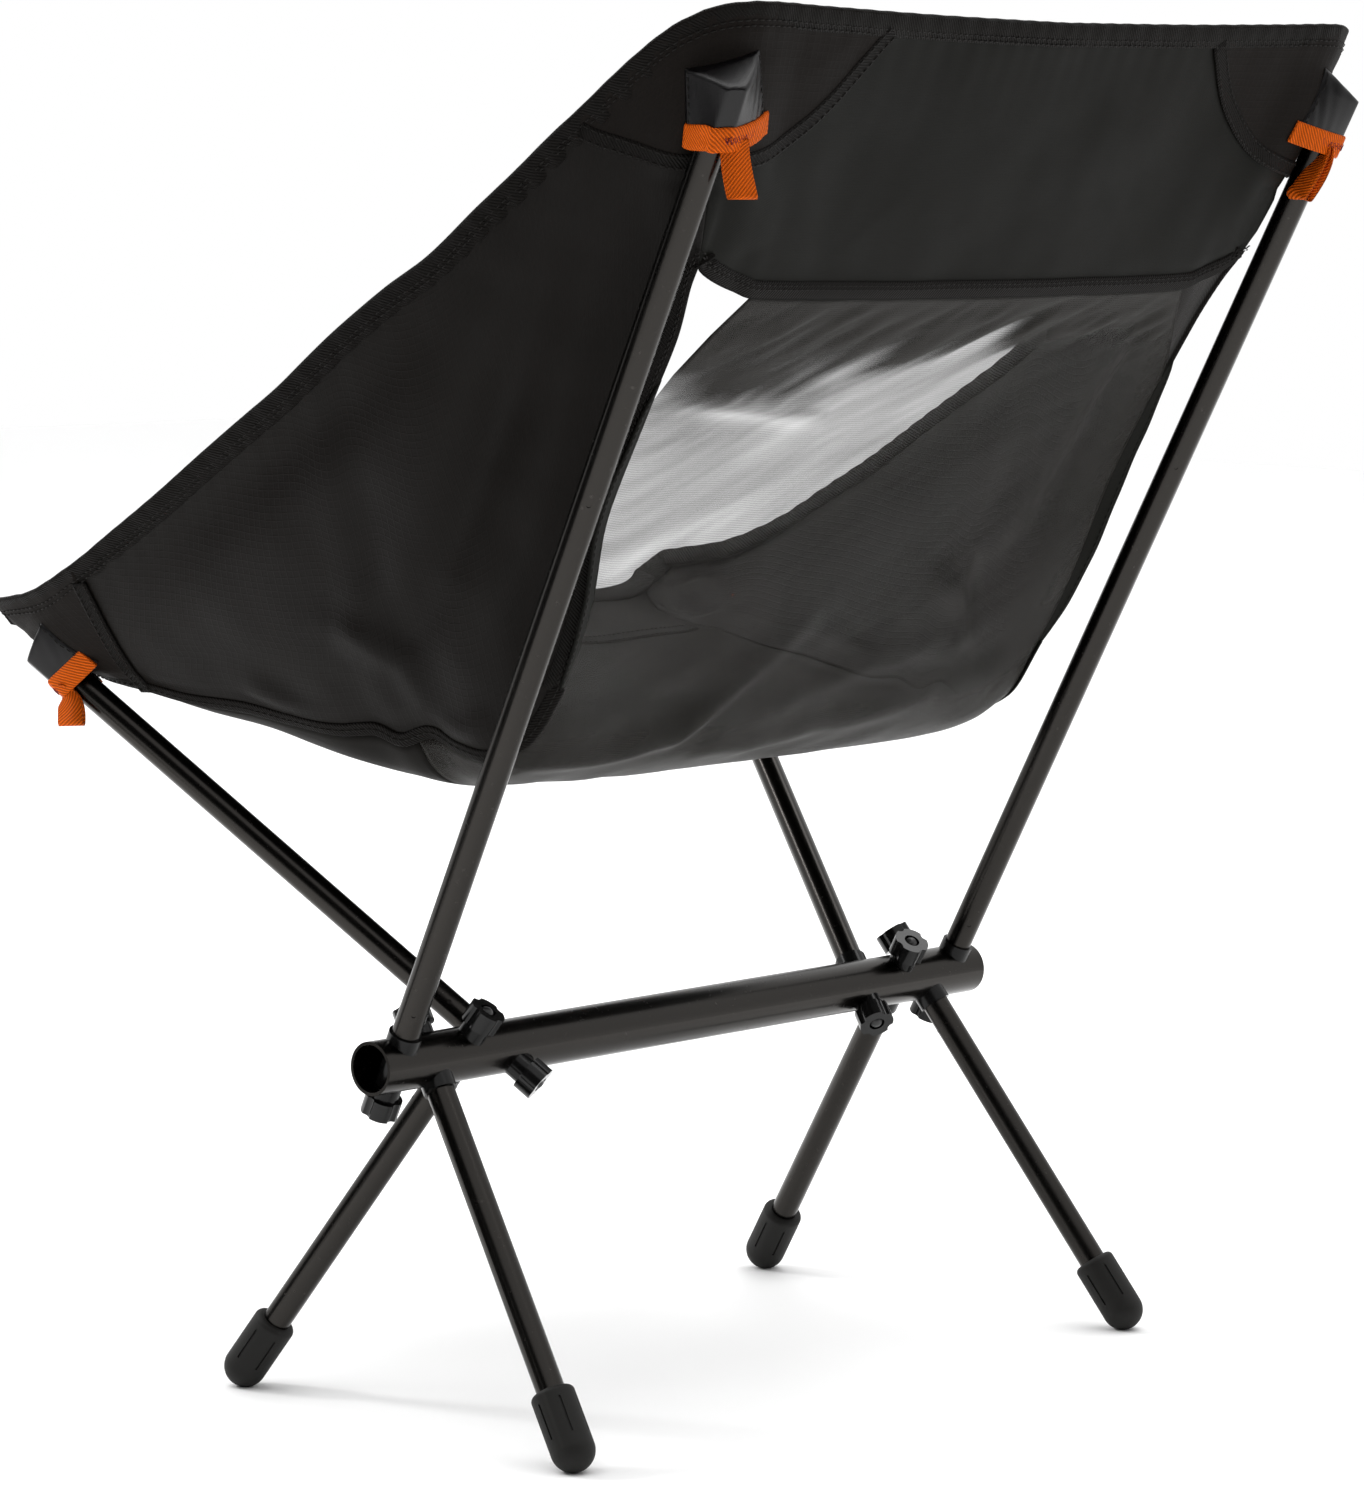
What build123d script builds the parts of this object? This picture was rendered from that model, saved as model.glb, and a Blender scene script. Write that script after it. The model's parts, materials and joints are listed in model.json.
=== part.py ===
from build123d import *
import os

# Ultralight backpacking chair: a pole frame plugged into one hub bar, and a fabric seat hung on
# four pole tips. Millimetres. The floor is z = 0, +Z is up, -Y is the sitter's front and +X is the
# sitter's left. The origin is on the floor, under the middle of the chair.

# Hub bar: an open tube along X
HUB_Y = 2.57
HUB_HEIGHT = 164.7
BAR_RADIUS = 12.2
BAR_WALL = 1.5
BAR_HALF_LENGTH = 212.0

# Poles: round tubes, each on a line through the bar's axis
POLE_RADIUS = 6.5
POLE_WALL = 0.9
DIMPLE_RADIUS = 1.0
DIMPLE_DEPTH = 0.45
DIMPLE_FROM_END = 13.0
DIMPLE_TURN = 45.0
DIMPLES_PER_TUBE = 2
DIMPLE_CUT = 2.0

# Where each pole crosses the bar's axis, and its run outwards and backwards for each unit of rise
BACK_CROSSING, BACK_SPREAD, BACK_RAKE = 196.2, 0.05, 0.478
REAR_CROSSING, REAR_SPREAD, REAR_RAKE = 174.7, 0.158, 0.722
FORE_CROSSING, FORE_SPREAD, FORE_RAKE = 155.4, 0.193, -0.677
FRONT_CROSSING, FRONT_SPREAD, FRONT_RAKE = 129.7, 0.572, -1.135
BACK_TIP_HEIGHT = 599.0
FRONT_TIP_HEIGHT = 338.0
BACK_JOINT_RISE = 247.0

# Hub sockets: a sleeve right through the bar, a collar under the pole's end, a neck for the knob
SOCKET_SPIGOT_GAP = 0.05
COLLAR_RADIUS = 7.75
COLLAR_FROM = 6.0
COLLAR_TOP = 16.5
NECK_END = 20.0
SOCKET_FLOOR = 17.0
SPIGOT_WALL = 0.9
SPIGOT_SHOWN = 30.0
SPIGOT_HIDDEN = 28.0

# Knobs on the necks, and the shock cords that end in them
KNOB_RADIUS = 8.5
KNOB_FROM = 17.0
KNOB_END = 26.0
KNOB_RECESS_RADIUS = 3.8
KNOB_RECESS_FROM = 22.5
SCALLOP_COUNT = 4
SCALLOP_RADIUS = 3.0
SCALLOP_CENTRE = 10.2
CORD_RADIUS = 1.4
CORD_HOLE_RADIUS = 1.6
CORD_END_GAP = 3.0
ANCHOR_RADIUS = 3.3
ANCHOR_RIM = 2.0
ANCHOR_DOME = 2.4

# Rubber boots on the legs, standing on a small flat
BOOT_RADIUS = 10.0
BOOT_CENTRE_HEIGHT = 9.7
BOOT_SLEEVE = 28.0
BOOT_LIP = 2.5
BOOT_SOLE = 4.0
GROOVE_COUNT = 6
GROOVE_WIDTH = 1.0
GROOVE_DEPTH = 0.7
GROOVE_LENGTH = 17.0
GROOVE_CENTRE_ABOVE = 14.0

# Tip caps on the uprights
CAP_RADIUS = 7.0
CAP_HEAD = 9.0
CAP_PLUG = 9.0

# Seat fabric: flat and ruled panels, sewn edge to edge
SHEET = 0.8
BACK_BAND_FOOT = (164.0, 508.0)
BACK_BAND_TOP = (212.0, 630.0)
BACK_CORNER = ((201, 175, 549), (206, 214, 630), (240, 179, 612))
FRONT_CORNER = ((207, -160, 322), (205, -222, 352), (240, -195, 364))
FRONT_WING_TIP = (248, -160, 378)
# The left wing's lower and upper edge, as (y, lower x, lower z, upper x, upper z)
WING_STATIONS = (
    (-159, 208, 319, 249, 379),
    (-110, 196, 304, 252, 408),
    (-20, 180, 289, 254, 465),
    (45, 173, 297, 250, 511),
    (76, 171, 344, 248, 532),
    (115, 181, 432, 244, 563),
    (157, 186, 508, 240, 597),
    (174, 200, 547, 239, 610),
)
# The middle of the seat from the band down, under and forward, as (y, z)
MESH_PATH = (
    (163.4, 506.5), (126.0, 451.0), (106.0, 412.0), (92.0, 372.0), (74.0, 333.0),
    (60.0, 309.0), (42.0, 292.0), (15.0, 284.0), (0.5, 282.5),
)
BASE_PATH = ((-0.5, 282.5), (-70.0, 291.0), (-120.0, 303.0), (-160.0, 318.0), (-218.0, 350.0))
MESH_EDGE = ((158, 508), (181, 465), (179.5, 431), (172.5, 372), (169.5, 333), (170.5, 285))
BAND_EDGE = ((158, 508), (187, 521), (199, 551), (204, 630))
BASE_EDGE = ((173, 0), (178, -20), (194, -110), (205, -160), (203, -213))
BASE_FRONT_DIP = 8.0
CUT_REACH = 300.0

# Pockets over the pole tips, the webbing across their mouths, and the pull loops
POCKET_LENGTH = 31.0
POCKET_OVER_TIP = 0.8
POCKET_WALL = 0.8
POCKET_WIDTH = 38.0
POCKET_BACK = -10.0
POCKET_FRONT = 8.8
POCKET_OUTLINE = (
    (POCKET_BACK, POCKET_WIDTH / 2), (2, 9.5), (POCKET_FRONT, 4),
    (POCKET_FRONT, -4), (2, -9.5), (POCKET_BACK, -POCKET_WIDTH / 2),
)
WEBBING_THICKNESS = 1.2
WEBBING_WIDTH = 11.0
WEBBING_BELOW_MOUTH = 1.0
LOOP_WIDTH = 13.0
LOOP_LENGTH = 27.0
LOOP_THICKNESS = 2.4
LOOP_LAP = 8.0

# Sizes that follow from the ones above
POLE_BORE = POLE_RADIUS - POLE_WALL
SOCKET_BORE = POLE_BORE + SOCKET_SPIGOT_GAP
SPIGOT_BORE = POLE_BORE - SPIGOT_WALL
FERRULE_RADIUS = POLE_BORE - SOCKET_SPIGOT_GAP
HUB = Vector(0, HUB_Y, HUB_HEIGHT)
BOOT_DROP = HUB_HEIGHT - BOOT_CENTRE_HEIGHT
SIDES = {"left": 1, "right": -1}

os.makedirs("parts", exist_ok=True)


class Pole:
    """One pole's line: its crossing with the bar, its planes and the distances along it."""

    def __init__(self, name, side, crossing, spread, rake, rise, reach):
        run = Vector(SIDES[side] * spread, rake, rise)
        self.name = f"{name}_{side}"
        self.side = SIDES[side]
        self.axis_dir = run.normalized()
        self.crossing = HUB + Vector(self.side * crossing, 0, 0)
        self.plane = Plane(self.crossing, x_dir=(1, 0, 0), z_dir=self.axis_dir)
        self.knob_plane = Plane(self.crossing, x_dir=(1, 0, 0), z_dir=-self.axis_dir)
        self.tip = reach * run.length
        self.joint = BACK_JOINT_RISE * run.length
        self.boot_centre = BOOT_DROP * run.length


def poles(name, crossing, spread, rake, rise, reach=0.0):
    """The left and the right pole of one kind."""
    return [Pole(name, side, crossing, spread, rake, rise, reach) for side in SIDES]


FRONT_LEGS = poles("front_leg", FORE_CROSSING, FORE_SPREAD, FORE_RAKE, -1)
REAR_LEGS = poles("rear_leg", REAR_CROSSING, REAR_SPREAD, REAR_RAKE, -1)
LEGS = FRONT_LEGS + REAR_LEGS
FRONT_UPRIGHTS = poles(
    "front_upright", FRONT_CROSSING, FRONT_SPREAD, FRONT_RAKE, 1, FRONT_TIP_HEIGHT - HUB_HEIGHT
)
BACK_UPRIGHTS = poles(
    "back_upright", BACK_CROSSING, BACK_SPREAD, BACK_RAKE, 1, BACK_TIP_HEIGHT - HUB_HEIGHT
)
UPRIGHTS = FRONT_UPRIGHTS + BACK_UPRIGHTS
ALL_POLES = LEGS + UPRIGHTS


def save(piece, node):
    """Label one finished piece and write it."""
    piece.part.label = node
    export_step(piece.part, f"parts/{node}.step")


def ring(plane, start, end, outer, inner=0.0, mode=Mode.ADD):
    """A round bar or tube along a plane's normal, between two distances from the plane."""
    with BuildSketch(plane.offset(start)) as section:
        Circle(outer)
        if inner:
            Circle(inner, mode=Mode.SUBTRACT)
    extrude(section.sketch, amount=end - start, mode=mode)


def side_plane(plane):
    """The plane through a pole's axis, where local X is the radius and local Y runs along it."""
    return Plane(plane.origin, x_dir=plane.x_dir, z_dir=-plane.y_dir)


def axis_of(plane):
    """The pole's own axis, for turning a profile round it."""
    return Axis(plane.origin, plane.z_dir)


def dimples(plane, distance):
    """Two opposite crimp dimples in a tube's wall."""
    depth_centre = POLE_RADIUS - DIMPLE_DEPTH
    with Locations(plane.offset(distance)):
        with PolarLocations(depth_centre, DIMPLES_PER_TUBE, start_angle=DIMPLE_TURN):
            Cylinder(
                DIMPLE_RADIUS, DIMPLE_CUT, rotation=(0, 90, 0),
                align=(Align.CENTER, Align.CENTER, Align.MIN), mode=Mode.SUBTRACT,
            )


def pole_tube(node, plane, start, end, dimple_at):
    """A tube with one pair of crimp dimples."""
    with BuildPart() as tube:
        ring(plane, start, end, POLE_RADIUS, POLE_BORE)
        dimples(plane, dimple_at)
    save(tube, node)


def spigot(node, plane, start, end):
    """A thin tube glued into a pole, whose free end plugs into the next piece."""
    with BuildPart() as insert:
        ring(plane, start, end, POLE_BORE, SPIGOT_BORE)
    save(insert, node)


def plate(corners, thickness):
    """A flat plate on a triangle, thickened on the side its corners turn right-handed about."""
    first, second, third = [Vector(*corner) + Vector(0, HUB_Y, 0) for corner in corners]
    normal = (second - first).cross(third - first)
    flat = Plane(first, x_dir=second - first, z_dir=normal)
    outline = [flat.to_local_coords(corner) for corner in (first, second, third)]
    with BuildSketch(flat) as triangle:
        with BuildLine():
            Polyline([(corner.X, corner.Y) for corner in outline], close=True)
        make_face()
    extrude(triangle.sketch, amount=thickness)


def strip(path, half_width):
    """A bent sheet: a path in the YZ plane, given thickness and drawn out to both sides."""
    shifted = [(y + HUB_Y, z) for y, z in path]
    with BuildSketch(Plane.YZ) as profile:
        with BuildLine():
            Polyline(shifted)
            offset(amount=SHEET, side=Side.RIGHT)
        make_face()
    extrude(profile.sketch, amount=half_width, both=True)


def mirrored_outline(half):
    """A closed outline from its right half, given as (x, other) from one end to the other."""
    return list(half) + [(-x, other) for x, other in reversed(half)]


# ---------------------------------------------------------------- hub
with BuildPart() as hub_bar:
    bar_plane = Plane(HUB, x_dir=(0, 1, 0), z_dir=(1, 0, 0))
    ring(bar_plane, -BAR_HALF_LENGTH, BAR_HALF_LENGTH, BAR_RADIUS, BAR_RADIUS - BAR_WALL)
    for pole in ALL_POLES:
        ring(pole.plane, -NECK_END, NECK_END, POLE_RADIUS, mode=Mode.SUBTRACT)
save(hub_bar, "hub_bar")

for pole in ALL_POLES:
    with BuildPart() as socket:
        ring(pole.plane, COLLAR_FROM, COLLAR_TOP, COLLAR_RADIUS)
        ring(bar_plane, -BAR_HALF_LENGTH, BAR_HALF_LENGTH, BAR_RADIUS, mode=Mode.SUBTRACT)
        ring(pole.plane, -NECK_END, COLLAR_TOP, POLE_RADIUS)
        ring(pole.plane, -SOCKET_FLOOR, COLLAR_TOP, SOCKET_BORE, mode=Mode.SUBTRACT)
        ring(pole.plane, -NECK_END, 0, CORD_HOLE_RADIUS, mode=Mode.SUBTRACT)
    save(socket, f"socket_{pole.name}")

    with BuildPart() as knob:
        with BuildSketch(pole.knob_plane.offset(KNOB_FROM)) as knob_section:
            Circle(KNOB_RADIUS)
            with PolarLocations(SCALLOP_CENTRE, SCALLOP_COUNT):
                Circle(SCALLOP_RADIUS, mode=Mode.SUBTRACT)
        extrude(knob_section.sketch, amount=KNOB_END - KNOB_FROM)
        ring(pole.knob_plane, KNOB_FROM, NECK_END, POLE_RADIUS, mode=Mode.SUBTRACT)
        ring(pole.knob_plane, KNOB_FROM, KNOB_END, CORD_HOLE_RADIUS, mode=Mode.SUBTRACT)
        ring(pole.knob_plane, KNOB_RECESS_FROM, KNOB_END, KNOB_RECESS_RADIUS, mode=Mode.SUBTRACT)
    save(knob, f"knob_{pole.name}")

with BuildPart() as cord_anchors:
    for pole in ALL_POLES:
        rim_top = KNOB_RECESS_FROM + ANCHOR_RIM
        crown = rim_top + ANCHOR_DOME
        with BuildSketch(side_plane(pole.knob_plane)) as anchor_profile:
            with BuildLine():
                Polyline((0, crown), (0, KNOB_RECESS_FROM), (ANCHOR_RADIUS, KNOB_RECESS_FROM),
                         (ANCHOR_RADIUS, rim_top))
                TangentArc((0, crown), (ANCHOR_RADIUS, rim_top), tangent=(1, 0))
            make_face()
        revolve(anchor_profile.sketch, axis=axis_of(pole.knob_plane))
save(cord_anchors, "cord_anchors")

with BuildPart() as shock_cords:
    for pole in LEGS:
        ring(pole.plane, -KNOB_RECESS_FROM, pole.boot_centre - BOOT_SOLE - CORD_END_GAP, CORD_RADIUS)
    for pole in UPRIGHTS:
        ring(pole.plane, -KNOB_RECESS_FROM, pole.tip - CAP_HEAD - CAP_PLUG - CORD_END_GAP, CORD_RADIUS)
save(shock_cords, "shock_cords")

# ---------------------------------------------------------------- poles
for pole in LEGS:
    tube_end = pole.boot_centre - BOOT_SOLE
    pole_tube(f"tube_{pole.name}", pole.plane, COLLAR_TOP, tube_end, COLLAR_TOP + DIMPLE_FROM_END)

for pole in FRONT_UPRIGHTS:
    pole_tube(f"tube_{pole.name}", pole.plane, COLLAR_TOP, pole.tip - CAP_HEAD,
              COLLAR_TOP + DIMPLE_FROM_END)

for pole in BACK_UPRIGHTS:
    pole_tube(f"lower_tube_{pole.name}", pole.plane, COLLAR_TOP, pole.joint,
              COLLAR_TOP + DIMPLE_FROM_END)
    pole_tube(f"upper_tube_{pole.name}", pole.plane, pole.joint, pole.tip - CAP_HEAD,
              pole.joint + DIMPLE_FROM_END)
    with BuildPart() as ferrule:
        ring(pole.plane, pole.joint, pole.joint + SPIGOT_HIDDEN, POLE_BORE, SPIGOT_BORE)
        ring(pole.plane, pole.joint - SPIGOT_SHOWN, pole.joint, FERRULE_RADIUS, SPIGOT_BORE)
    save(ferrule, f"ferrule_{pole.name}")

for pole in ALL_POLES:
    spigot(f"spigot_{pole.name}", pole.plane, COLLAR_TOP - SPIGOT_SHOWN, COLLAR_TOP + SPIGOT_HIDDEN)

for pole in LEGS:
    centre = pole.boot_centre
    top = centre - BOOT_SLEEVE
    with BuildPart() as boot:
        with BuildSketch(side_plane(pole.plane)) as boot_profile:
            with BuildLine():
                Line((POLE_RADIUS, top), (BOOT_RADIUS - BOOT_LIP, top))
                TangentArc((BOOT_RADIUS - BOOT_LIP, top), (BOOT_RADIUS, top + BOOT_LIP), tangent=(1, 0))
                Line((BOOT_RADIUS, top + BOOT_LIP), (BOOT_RADIUS, centre))
                TangentArc((BOOT_RADIUS, centre), (0, centre + BOOT_RADIUS), tangent=(0, 1))
                Polyline((0, centre + BOOT_RADIUS), (0, centre - BOOT_SOLE),
                         (POLE_RADIUS, centre - BOOT_SOLE), (POLE_RADIUS, top))
            make_face()
        revolve(boot_profile.sketch, axis=axis_of(pole.plane))
        with Locations(pole.plane.offset(centre - GROOVE_CENTRE_ABOVE)):
            with PolarLocations(BOOT_RADIUS, GROOVE_COUNT):
                Box(2 * GROOVE_DEPTH, GROOVE_WIDTH, GROOVE_LENGTH, mode=Mode.SUBTRACT)
        with Locations((0, 0, 0)):
            Box(2 * CUT_REACH, 2 * CUT_REACH, BOOT_RADIUS,
                align=(Align.CENTER, Align.CENTER, Align.MAX), mode=Mode.SUBTRACT)
    save(boot, f"foot_{pole.name}")

for pole in UPRIGHTS:
    head_from = pole.tip - CAP_HEAD
    dome_from = pole.tip - CAP_RADIUS
    with BuildPart() as tip_cap:
        with BuildSketch(side_plane(pole.plane)) as cap_profile:
            with BuildLine():
                Polyline((0, pole.tip), (0, head_from - CAP_PLUG), (POLE_BORE, head_from - CAP_PLUG),
                         (POLE_BORE, head_from), (CAP_RADIUS, head_from), (CAP_RADIUS, dome_from))
                TangentArc((CAP_RADIUS, dome_from), (0, pole.tip), tangent=(0, 1))
            make_face()
        revolve(cap_profile.sketch, axis=axis_of(pole.plane))
    save(tip_cap, f"tip_cap_{pole.name}")

# ---------------------------------------------------------------- seat panels
for side, sign in SIDES.items():
    with BuildPart() as wing:
        sections = []
        for y, low_x, low_z, high_x, high_z in WING_STATIONS:
            with BuildSketch(Plane.XZ.offset(-(y + HUB_Y))) as section:
                with BuildLine():
                    Polyline(
                        (sign * low_x, low_z), (sign * high_x, high_z),
                        (sign * (high_x - SHEET), high_z), (sign * (low_x - SHEET), low_z), close=True,
                    )
                make_face()
            sections.append(section.sketch)
        loft(sections, ruled=True)
    save(wing, f"wing_{side}")

with BuildPart() as back_band:
    foot_y, foot_z = BACK_BAND_FOOT
    top_y, top_z = BACK_BAND_TOP
    band_slope = Vector(0, top_y - foot_y, top_z - foot_z)
    stretch = band_slope.length / (top_z - foot_z)
    band_foot = Vector(0, foot_y + HUB_Y, foot_z)
    band_plane = Plane(band_foot, x_dir=(1, 0, 0), z_dir=Vector(1, 0, 0).cross(band_slope))
    with BuildSketch(band_plane) as band_outline:
        with BuildLine():
            Polyline([(x, (z - foot_z) * stretch) for x, z in mirrored_outline(BAND_EDGE)], close=True)
        make_face()
    extrude(band_outline.sketch, amount=SHEET)
save(back_band, "back_band")

with BuildPart() as mesh_panel:
    strip(MESH_PATH, CUT_REACH)
    with BuildSketch(Plane.XZ) as mesh_outline:
        with BuildLine():
            Polyline(mirrored_outline(MESH_EDGE), close=True)
        make_face()
    extrude(mesh_outline.sketch, amount=CUT_REACH, both=True, mode=Mode.INTERSECT)
save(mesh_panel, "mesh_panel")

with BuildPart() as seat_base:
    strip(BASE_PATH, CUT_REACH)
    with BuildSketch(Plane.XY) as base_outline:
        right_side = [(x, y + HUB_Y) for x, y in BASE_EDGE]
        front_right = right_side[-1]
        with BuildLine():
            Polyline([(-x, y) for x, y in reversed(right_side)] + right_side)
            front_x, front_y = front_right
            ThreePointArc(front_right, (0, front_y + BASE_FRONT_DIP), (-front_x, front_y))
        make_face()
    extrude(base_outline.sketch, amount=2 * CUT_REACH, mode=Mode.INTERSECT)
save(seat_base, "seat_base")

with BuildPart() as back_patches:
    for sign in SIDES.values():
        low, inner, outer = [(sign * x, y, z) for x, y, z in BACK_CORNER]
        plate((low, inner, outer), sign * SHEET)
save(back_patches, "corner_patches_back")

with BuildPart() as front_patches:
    for sign in SIDES.values():
        low, inner, outer = [(sign * x, y, z) for x, y, z in FRONT_CORNER]
        wing_tip = (sign * FRONT_WING_TIP[0], FRONT_WING_TIP[1], FRONT_WING_TIP[2])
        plate((low, inner, outer), sign * SHEET)
        plate((low, outer, wing_tip), sign * SHEET)
save(front_patches, "corner_patches_front")


def corner_normal(pole):
    """The outward normal of the corner patch behind a pole's tip."""
    corners = FRONT_CORNER if pole in FRONT_UPRIGHTS else BACK_CORNER
    first, second, third = [Vector(pole.side * x, y, z) for x, y, z in corners]
    normal = (second - first).cross(third - first).normalized()
    outward = Vector(pole.side, 0, 0)
    return normal if normal.dot(outward) > 0 else -normal


def pocket_plane(pole):
    """Across the pole at its tip, with local X pointing away from the corner patch."""
    return Plane(pole.crossing + pole.axis_dir * pole.tip, x_dir=corner_normal(pole), z_dir=pole.axis_dir)


def pocket_section(plane, grow):
    """The pocket's tent-shaped section, grown or shrunk all round."""
    with BuildSketch(plane) as section:
        with BuildLine():
            Polyline(POCKET_OUTLINE, close=True)
        make_face()
        if grow:
            offset(amount=grow, kind=Kind.INTERSECTION)
    return section.sketch


for pole in UPRIGHTS:
    tip_plane = pocket_plane(pole)
    with BuildPart() as pocket:
        pocket_top = POCKET_OVER_TIP + POCKET_WALL
        extrude(pocket_section(tip_plane.offset(-POCKET_LENGTH), 0), amount=POCKET_LENGTH + pocket_top)
        extrude(pocket_section(tip_plane.offset(-POCKET_LENGTH), -POCKET_WALL),
                amount=POCKET_LENGTH + POCKET_OVER_TIP, mode=Mode.SUBTRACT)
    save(pocket, f"pocket_{pole.name.replace('_upright', '')}")

with BuildPart() as webbing_bands:
    for pole in UPRIGHTS:
        band_from = pocket_plane(pole).offset(-POCKET_LENGTH - WEBBING_BELOW_MOUTH)
        with BuildSketch(band_from) as band_section:
            add(pocket_section(Plane.XY, WEBBING_THICKNESS))
            add(pocket_section(Plane.XY, 0), mode=Mode.SUBTRACT)
            with Locations((POCKET_BACK, 0)):
                Rectangle(2 * WEBBING_THICKNESS, 2 * POCKET_WIDTH, align=(Align.MAX, Align.CENTER),
                          mode=Mode.SUBTRACT)
        extrude(band_section.sketch, amount=WEBBING_WIDTH)
save(webbing_bands, "webbing_bands")

with BuildPart() as pull_loops:
    for pole in UPRIGHTS:
        loop_top = LOOP_LAP - POCKET_LENGTH - WEBBING_BELOW_MOUTH
        band_face = POCKET_FRONT + WEBBING_THICKNESS
        with Locations(pocket_plane(pole).offset(loop_top)):
            with Locations((band_face, 0, 0)):
                Box(LOOP_THICKNESS, LOOP_WIDTH, LOOP_LENGTH + LOOP_LAP,
                    align=(Align.MIN, Align.CENTER, Align.MAX))
save(pull_loops, "pull_loops")
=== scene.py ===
import json
import math

import bpy
import numpy as np
from mathutils import Matrix, Vector, noise


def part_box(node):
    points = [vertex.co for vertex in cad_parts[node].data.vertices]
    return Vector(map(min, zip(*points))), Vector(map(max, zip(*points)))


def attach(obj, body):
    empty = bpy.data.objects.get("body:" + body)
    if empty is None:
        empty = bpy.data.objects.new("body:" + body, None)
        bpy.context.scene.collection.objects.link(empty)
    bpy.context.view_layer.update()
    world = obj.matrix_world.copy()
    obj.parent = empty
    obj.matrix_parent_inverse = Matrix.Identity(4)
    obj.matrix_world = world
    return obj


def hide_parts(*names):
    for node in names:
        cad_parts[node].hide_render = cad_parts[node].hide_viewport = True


# Ultralight backpacking chair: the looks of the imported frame. The hard parts stay as they are and
# get materials. The seat's cloth, bindings, stitches, pockets and webbing are made here. Lengths in
# the tables are millimetres, measured like the frame: +X to the sitter's left, -Y to the front, with
# y counted from the hub bar's middle. Everything turns into metres when it becomes a mesh.

MM = 0.001
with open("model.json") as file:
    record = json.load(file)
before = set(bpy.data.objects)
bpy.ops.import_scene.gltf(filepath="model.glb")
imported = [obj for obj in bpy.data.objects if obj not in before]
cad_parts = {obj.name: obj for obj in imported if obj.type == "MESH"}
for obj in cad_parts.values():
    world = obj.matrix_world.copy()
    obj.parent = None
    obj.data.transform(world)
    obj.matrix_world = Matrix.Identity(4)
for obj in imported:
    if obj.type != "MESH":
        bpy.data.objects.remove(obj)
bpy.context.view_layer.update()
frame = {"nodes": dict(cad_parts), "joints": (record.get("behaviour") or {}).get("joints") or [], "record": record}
hub_low, hub_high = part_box("hub_bar")
HUB_Y = (hub_low.y + hub_high.y) / 2
JOINTS = {joint["name"]: joint for joint in frame["joints"]}
SIDES = {"left": 1, "right": -1}
CORNERS = [(end, side) for end in ("front", "back") for side in SIDES]

# The seat's side, from the front corner round the wing to the middle of the back: each row is a
# place on the lower seam and the place on the hem straight above it
FRONT_CORNER_RULES = (
    ((201, -200, 331), (203, -216, 350)),
    ((206, -176, 324.5), (232, -226, 357)),
    ((208, -162, 323), (243, -190, 365)),
)
WING_RULES = (
    ((206, -150, 321), (249, -155, 380)),
    ((202, -122, 316.6), (250.5, -128, 396)),
    ((197, -97, 315), (252.3, -98, 414)),
    ((192.5, -70, 311), (253.3, -66, 435)),
    ((188, -43, 308), (254, -38, 453)),
    ((185, -25, 309.5), (254, -18, 466)),
    ((182.4, -10, 305.5), (254, -2, 478)),
    ((180, 6, 310.5), (253.6, 14, 490)),
    ((177.4, 20, 305), (253, 30, 501)),
    ((175, 34, 301.5), (252, 45, 511)),
    ((172.5, 52, 308), (249.5, 66, 524)),
    ((170.6, 71.6, 333), (247, 92, 545)),
    ((173.6, 92, 372.6), (244.5, 112, 561)),
    ((179.5, 106, 412), (242.5, 130, 576)),
    ((181.4, 126.5, 451), (240.5, 146, 588.5)),
    ((184, 149, 490), (239.5, 162, 601)),
    ((190.5, 163, 515), (238.5, 175, 610.5)),
)
BACK_CORNER_RULES = (
    ((193, 169, 523), (235, 191, 621.5)),
    ((193.5, 169.5, 523.5), (222, 207, 630)),
    ((192.5, 169, 522.5), (206, 213, 631.5)),
)
BAND_RULES = (
    ((190, 167.5, 520.5), (200, 213.5, 631.5)),
    ((180, 166.5, 516), (189, 213.5, 631.3)),
    ((166, 165, 512), (175, 213, 630.8)),
    ((155, 165, 509), (162, 213, 630.4)),
    ((80, 165, 507.5), (80, 212, 628.5)),
    ((0, 165, 507), (0, 212, 627.5)),
)
SIDE_COLUMNS = 231
SIDE_ROWS = 71

# The sling between the wings: its middle line from the band down, and the free upper part of the
# mesh panel's edge
MESH_MIDDLE = (
    (0, 165, 507), (0, 126, 451), (0, 106, 412), (0, 92, 372), (0, 73, 333), (0, 60, 311),
    (0, 43, 296), (0, 18, 286), (0, 0, 284),
)
MESH_FREE_EDGE = ((155, 165, 509), (166, 153, 493), (177, 142, 476))
MESH_JOINS_WING_AT = 466
BASE_MIDDLE = ((0, 0, 284), (0, -25, 287), (0, -70, 297), (0, -120, 309), (0, -160, 321), (0, -208, 342))
SLING_COLUMNS, SLING_HALF = 141, 170
MESH_ROWS = 131
BASE_ROWS = 71
FRONT_RULE_POINTS = 12
# How the sling rises to its edges: a little evenly, and mostly in a steep wall at the side
SLING_BOW, SLING_WALL = 0.06, 16

CLOTH_THICKNESS = 0.6
PLUMB = np.array((0, 0, -1.0))
HEM_WIDTH = 11.0
TAPE_WIDTH = 8.0


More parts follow.
